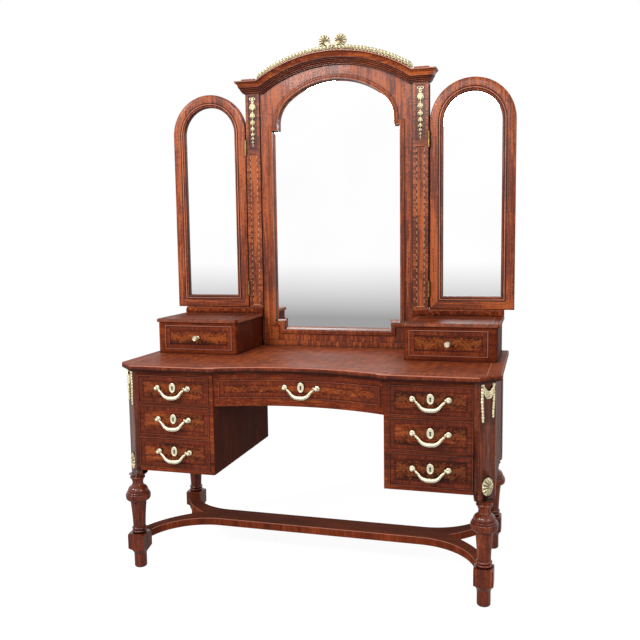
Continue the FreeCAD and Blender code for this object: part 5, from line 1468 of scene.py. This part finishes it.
class TABLE_OT_mounts(bpy.types.Operator):
    """Casts the swags and shells of the posts and the husk drops of the pilasters"""

    bl_idname = "dressing_table.mounts"
    bl_label = "Cast the mounts"

    def execute(self, context):
        bm = bmesh.new()
        shells = bmesh.new()
        for side in (1, -1):
            for shape, whole in ((self.swag, bm), (self.shell, shells)):
                part = bmesh.new()
                shape(part)
                bmesh.ops.transform(part, matrix=on_cant(side), verts=part.verts)
                join(whole, part)
            part = bmesh.new()
            self.husks(part)
            if side < 0:
                flipped(part)
            join(bm, part)
        made = piece("gilded_mounts", bm, finish("Chased gilding"), "case", 50)
        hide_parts("gilt_mounts")
        made = piece("post_shells", shells, finish("Bow gilding"), "case", 50)
        return {"FINISHED"}

    def swag(self, bm):
        """Draped ribbon between two bosses, with a tail below each."""
        for sign in (1, -1):
            for fold in range(4):
                spots = []
                for index in range(13):
                    share = index / 12
                    across = sign * 0.0225 * (1 - share)
                    sag = (0.020 + 0.0062 * fold) * math.sin(share * math.pi / 2) + 0.0045 * fold * (1 - share)
                    bulge = 0.0028 + 0.002 * math.sin(math.pi * (0.25 + 0.5 * share)) * (1 - 0.1 * fold)
                    spots.append(Vector((across, bulge, 0.727 - sag)))
                self.cord(bm, spots, 0.0034 - 0.0003 * fold)
            top = Vector((sign * 0.0225, 0.0, 0.729))
            button(bm, top, (0, 1, 0), 0.0068, 0.0062, 20, 5)
            width = 0.0122 if sign < 0 else 0.0090
            length = 0.100 if sign < 0 else 0.088
            for index in range(11):
                share = index / 10
                spot = Vector((sign * (0.0225 + 0.0015 * math.sin(share * 5)), 0.0012, 0.716 - length * share))
                size = width * (1 - 0.30 * share) * (1 + 0.20 * math.sin(index * 2.2))
                for lean in (-0.55, 0.55):
                    leaf(bm, spot, (lean, 0.25, -1), (0, 1, 0), 0.0125, size * 1.15, 0.0028)
                button(bm, spot + Vector((0, 0.0018, 0)), (0, 1, 0), size * 0.35, 0.0022, 8, 2)

    def cord(self, bm, spots, radius):
        pulses = [1 + 0.16 * math.sin(index * 1.7) for index in range(len(spots))]
        drawn(bm, spots, [(radius * 0.8 * pulse, radius * pulse) for pulse in pulses])

    def shell(self, bm):
        """Fluted oval shell round a hub set off its middle."""
        hub = Vector((0.009, 0.002, 0.399))
        count = 11
        for index in range(count):
            angle = math.tau * index / count + 0.28
            tip = Vector((math.cos(angle) * 0.0225, 0.0, 0.400 + math.sin(angle) * 0.029))
            run = tip - hub
            stations = []
            for part in range(9):
                share = part / 8
                wide = 0.0012 + 0.0049 * share ** 1.1 * (1.0 if part < 8 else 0.55)
                high = 0.0012 + 0.0034 * math.sin(math.pi * min(share * 0.9 + 0.1, 1.0)) + 0.0012 * share
                spot = hub + run * share + Vector((0, 0.0004, 0))
                stations.append(station(spot, run, (0, 1, 0), high, wide))
            swept(bm, stations, 10)
        button(bm, hub, (0, 1, 0), 0.0056, 0.0052, 18, 5)
        base = oval(bm, (0, -0.0004, 0.400), 0.0235, 0.030, 44)
        thicken(bm, [base[0].link_faces[0]], (0, 0.002, 0))

    def husks(self, bm):
        """Ribbon loops, then clusters of husks that narrow to a berry."""
        face, x = 0.2712, PILASTER_X

        def spot(across, out, z):
            return Vector((x + across, face - out, z))

        for sign in (1, -1):
            ring = []
            for step in range(15):
                angle = math.tau * (step % 14) / 14
                across = sign * (0.0058 + 0.0058 * math.cos(angle))
                ring.append(spot(across, 0.0016, 1.7535 + 0.0042 * math.sin(angle)))
            self.cord(bm, ring, 0.0017)
            self.cord(bm, [spot(sign * 0.0012, 0.0014, 1.7500), spot(sign * 0.0050, 0.0014, 1.7400)], 0.0016)
        husks = (
            (1.7420, 42, 26), (1.7030, 33, 23), (1.6730, 29, 21), (1.6470, 26, 18),
            (1.6240, 22, 16), (1.6050, 18, 13), (1.5900, 15, 10),
        )
        for top, length, width in husks:
            for lean in (-1.0, -0.5, 0.5, 1.0, 0.0):
                drop = length * (0.48 - 0.10 * abs(lean)) * MM
                place = spot(lean * width * 0.30 * MM, 0.0014 + 0.0012 * (1 - abs(lean)), top - drop)
                size = length * (1.0 - 0.25 * abs(lean)) * MM
                leaf(bm, place, (lean * 0.42, -0.08, -1), FORWARD, size, width * 0.34 * MM, 0.0034)
            button(bm, spot(0, 0.0014, top - 0.003), FORWARD, width * 0.18 * MM, 0.0040, 10, 3)
        button(bm, spot(0, 0, 1.5720), FORWARD, 0.0034, 0.0046, 14, 4)
        self.cord(bm, [spot(0, 0.0010, 1.7420), spot(0, 0.0012, 1.6600), spot(0, 0.0010, 1.5660)], 0.0013)


class TABLE_OT_stage(bpy.types.Operator):
    """Sets the floor, the lamps, the room and the camera"""

    bl_idname = "dressing_table.stage"
    bl_label = "Set the stage"

    def execute(self, context):
        self.floor()
        self.room()
        stage = settings().stage
        self.lamp("key_lamp_left", (-2.9, -2.5, 2.9), (0, 0, 0.9), 0.85, stage.key_power)
        self.lamp("key_lamp_right", (-1.2, -3.4, 2.9), (0, 0, 0.9), 0.85, stage.key_power)
        self.lamp("window_lamp", (0.10, -3.3, 2.55), (0, 0.2, 1.6), 0.9, stage.window_power)
        self.lamp("fill_lamp", (2.9, -2.2, 2.0), (0, 0, 0.8), 1.6, stage.fill_power)
        self.camera()
        context.scene.view_settings.view_transform = "Standard"
        return {"FINISHED"}

    def seen_directly(self, sketch):
        """Masks of what the camera sees, also through glass, and of what a mirror sees."""
        path = sketch.node("ShaderNodeLightPath")
        seen = sketch.maths("MAXIMUM", path["Is Camera Ray"], path["Is Transmission Ray"])
        return seen, path["Is Glossy Ray"]

    def floor(self):
        bm = bmesh.new()
        bmesh.ops.create_grid(bm, x_segments=1, y_segments=1, size=60)
        mesh = bpy.data.meshes.new("studio_floor")
        bm.to_mesh(mesh)
        bm.free()
        floor = bpy.data.objects.new("studio_floor", mesh)
        bpy.context.scene.collection.objects.link(floor)
        mesh.materials.append(self.floor_finish())

    def floor_finish(self):
        """Grey paper that the camera sees nearly white, and that fades in the mirrors as a painted reflection: it
        glows grey near the table and white far off.
        """
        white = (1, 1, 1, 1)
        material = bpy.data.materials.new("Studio floor")
        material.use_nodes = True
        shader = material.node_tree.nodes["Principled BSDF"]
        sketch = Sketch(material.node_tree, shader)
        dust = sketch.noise(sketch.position(), (2.0, 2.0, 2.0))
        colour = sketch.mix(dust, settings().stage.floor[:], srgb(246, 246, 246))
        sketch.paint(colour, 0.8, {"Specular IOR Level": 0.0})
        seen, glossy = self.seen_directly(sketch)
        # Painted reflection: for mirror rays the floor glows grey near the table, fading to white far away
        nearness = 1.0 / sketch.maths("MAXIMUM", abs(sketch.place()[1]), 1.0)
        near = sketch.maths("DIVIDE", nearness - 0.0286, 0.0964, clamp=True)
        shade = sketch.mix(glossy, white, sketch.mix(near, white, srgb(161, 161, 161)))
        glow = sketch.node("ShaderNodeEmission", {"Color": shade, "Strength": (1.0 - glossy) * 0.15 + 1.0})
        factor = sketch.maths("MAXIMUM", seen * 0.8, glossy)
        paper = Value(sketch, shader.outputs[0])
        blend = sketch.node("ShaderNodeMixShader", {0: factor, 1: paper, 2: glow[0]})
        sketch.put(material.node_tree.nodes["Material Output"].inputs["Surface"], blend[0])
        return material

    def room(self):
        world = bpy.data.worlds.new("Studio room")
        bpy.context.scene.world = world
        world.use_nodes = True
        sketch = Sketch(world.node_tree)
        seen, glossy = self.seen_directly(sketch)
        shown = sketch.maths("MAXIMUM", seen, glossy)
        level = settings().stage.room_level
        strength = shown * (1.0 - level) + level
        background = world.node_tree.nodes["Background"]
        background.inputs["Color"].default_value = (1, 1, 1, 1)
        sketch.put(background.inputs["Strength"], strength)

    def lamp(self, name, place, target, size, power):
        data = bpy.data.lights.new(name, "AREA")
        data.shape = "DISK"
        data.size = size
        data.energy = power
        lamp = bpy.data.objects.new(name, data)
        lamp.location = place
        lamp.rotation_euler = (Vector(target) - Vector(place)).to_track_quat("-Z", "Y").to_euler()
        bpy.context.scene.collection.objects.link(lamp)

    def camera(self):
        yaw, pitch, roll = 0.2794, 0.1049, -0.0137
        forward = Vector((-math.sin(yaw) * math.cos(pitch), math.cos(yaw) * math.cos(pitch), -math.sin(pitch)))
        right = Vector((math.cos(yaw), math.sin(yaw), 0))
        up = right.cross(forward)
        level_right = math.cos(roll) * right + math.sin(roll) * up
        level_up = level_right.cross(forward)
        data = bpy.data.cameras.new("photo_camera")
        data.lens = 43.18
        data.sensor_width = 36
        camera = bpy.data.objects.new("photo_camera", data)
        turn_to = Matrix((level_right, level_up, -forward)).transposed().to_4x4()
        camera.matrix_world = Matrix.Translation((0.780, -2.685, 1.192)) @ turn_to
        bpy.context.scene.collection.objects.link(camera)
        bpy.context.scene.camera = camera


class TABLE_PT_panel(bpy.types.Panel):
    """Shows the settings and the building steps of the dressing table"""

    bl_label = "Dressing table"
    bl_idname = "TABLE_PT_panel"
    bl_space_type = "VIEW_3D"
    bl_region_type = "UI"
    bl_category = "Dressing table"

    def draw(self, context):
        for group in ("woods", "metals", "turnings", "stage"):
            box = self.layout.box()
            box.label(text=group.capitalize())
            values = getattr(settings(), group)
            for name in values.__annotations__:
                box.prop(values, name)
        for operator in OPERATORS:
            self.layout.operator(operator.bl_idname)


GROUPS = (TableWoods, TableMetals, TableTurnings, TableStage, TableSettings)
OPERATORS = (
    TABLE_OT_carcase,
    TABLE_OT_top,
    TABLE_OT_legs,
    TABLE_OT_stretcher,
    TABLE_OT_cornice,
    TABLE_OT_mirror,
    TABLE_OT_wings,
    TABLE_OT_handles,
    TABLE_OT_crest,
    TABLE_OT_mounts,
    TABLE_OT_stage,
)


def register():
    for item in GROUPS + OPERATORS + (TABLE_PT_panel,):
        bpy.utils.register_class(item)
    bpy.types.Scene.dressing_table = bpy.props.PointerProperty(type=TableSettings)


def unregister():
    del bpy.types.Scene.dressing_table
    for item in reversed(GROUPS + OPERATORS + (TABLE_PT_panel,)):
        bpy.utils.unregister_class(item)


def main():
    register()
    for operator in OPERATORS:
        group, name = operator.bl_idname.split(".")
        getattr(getattr(bpy.ops, group), name)()


if __name__ == "__main__":
    main()
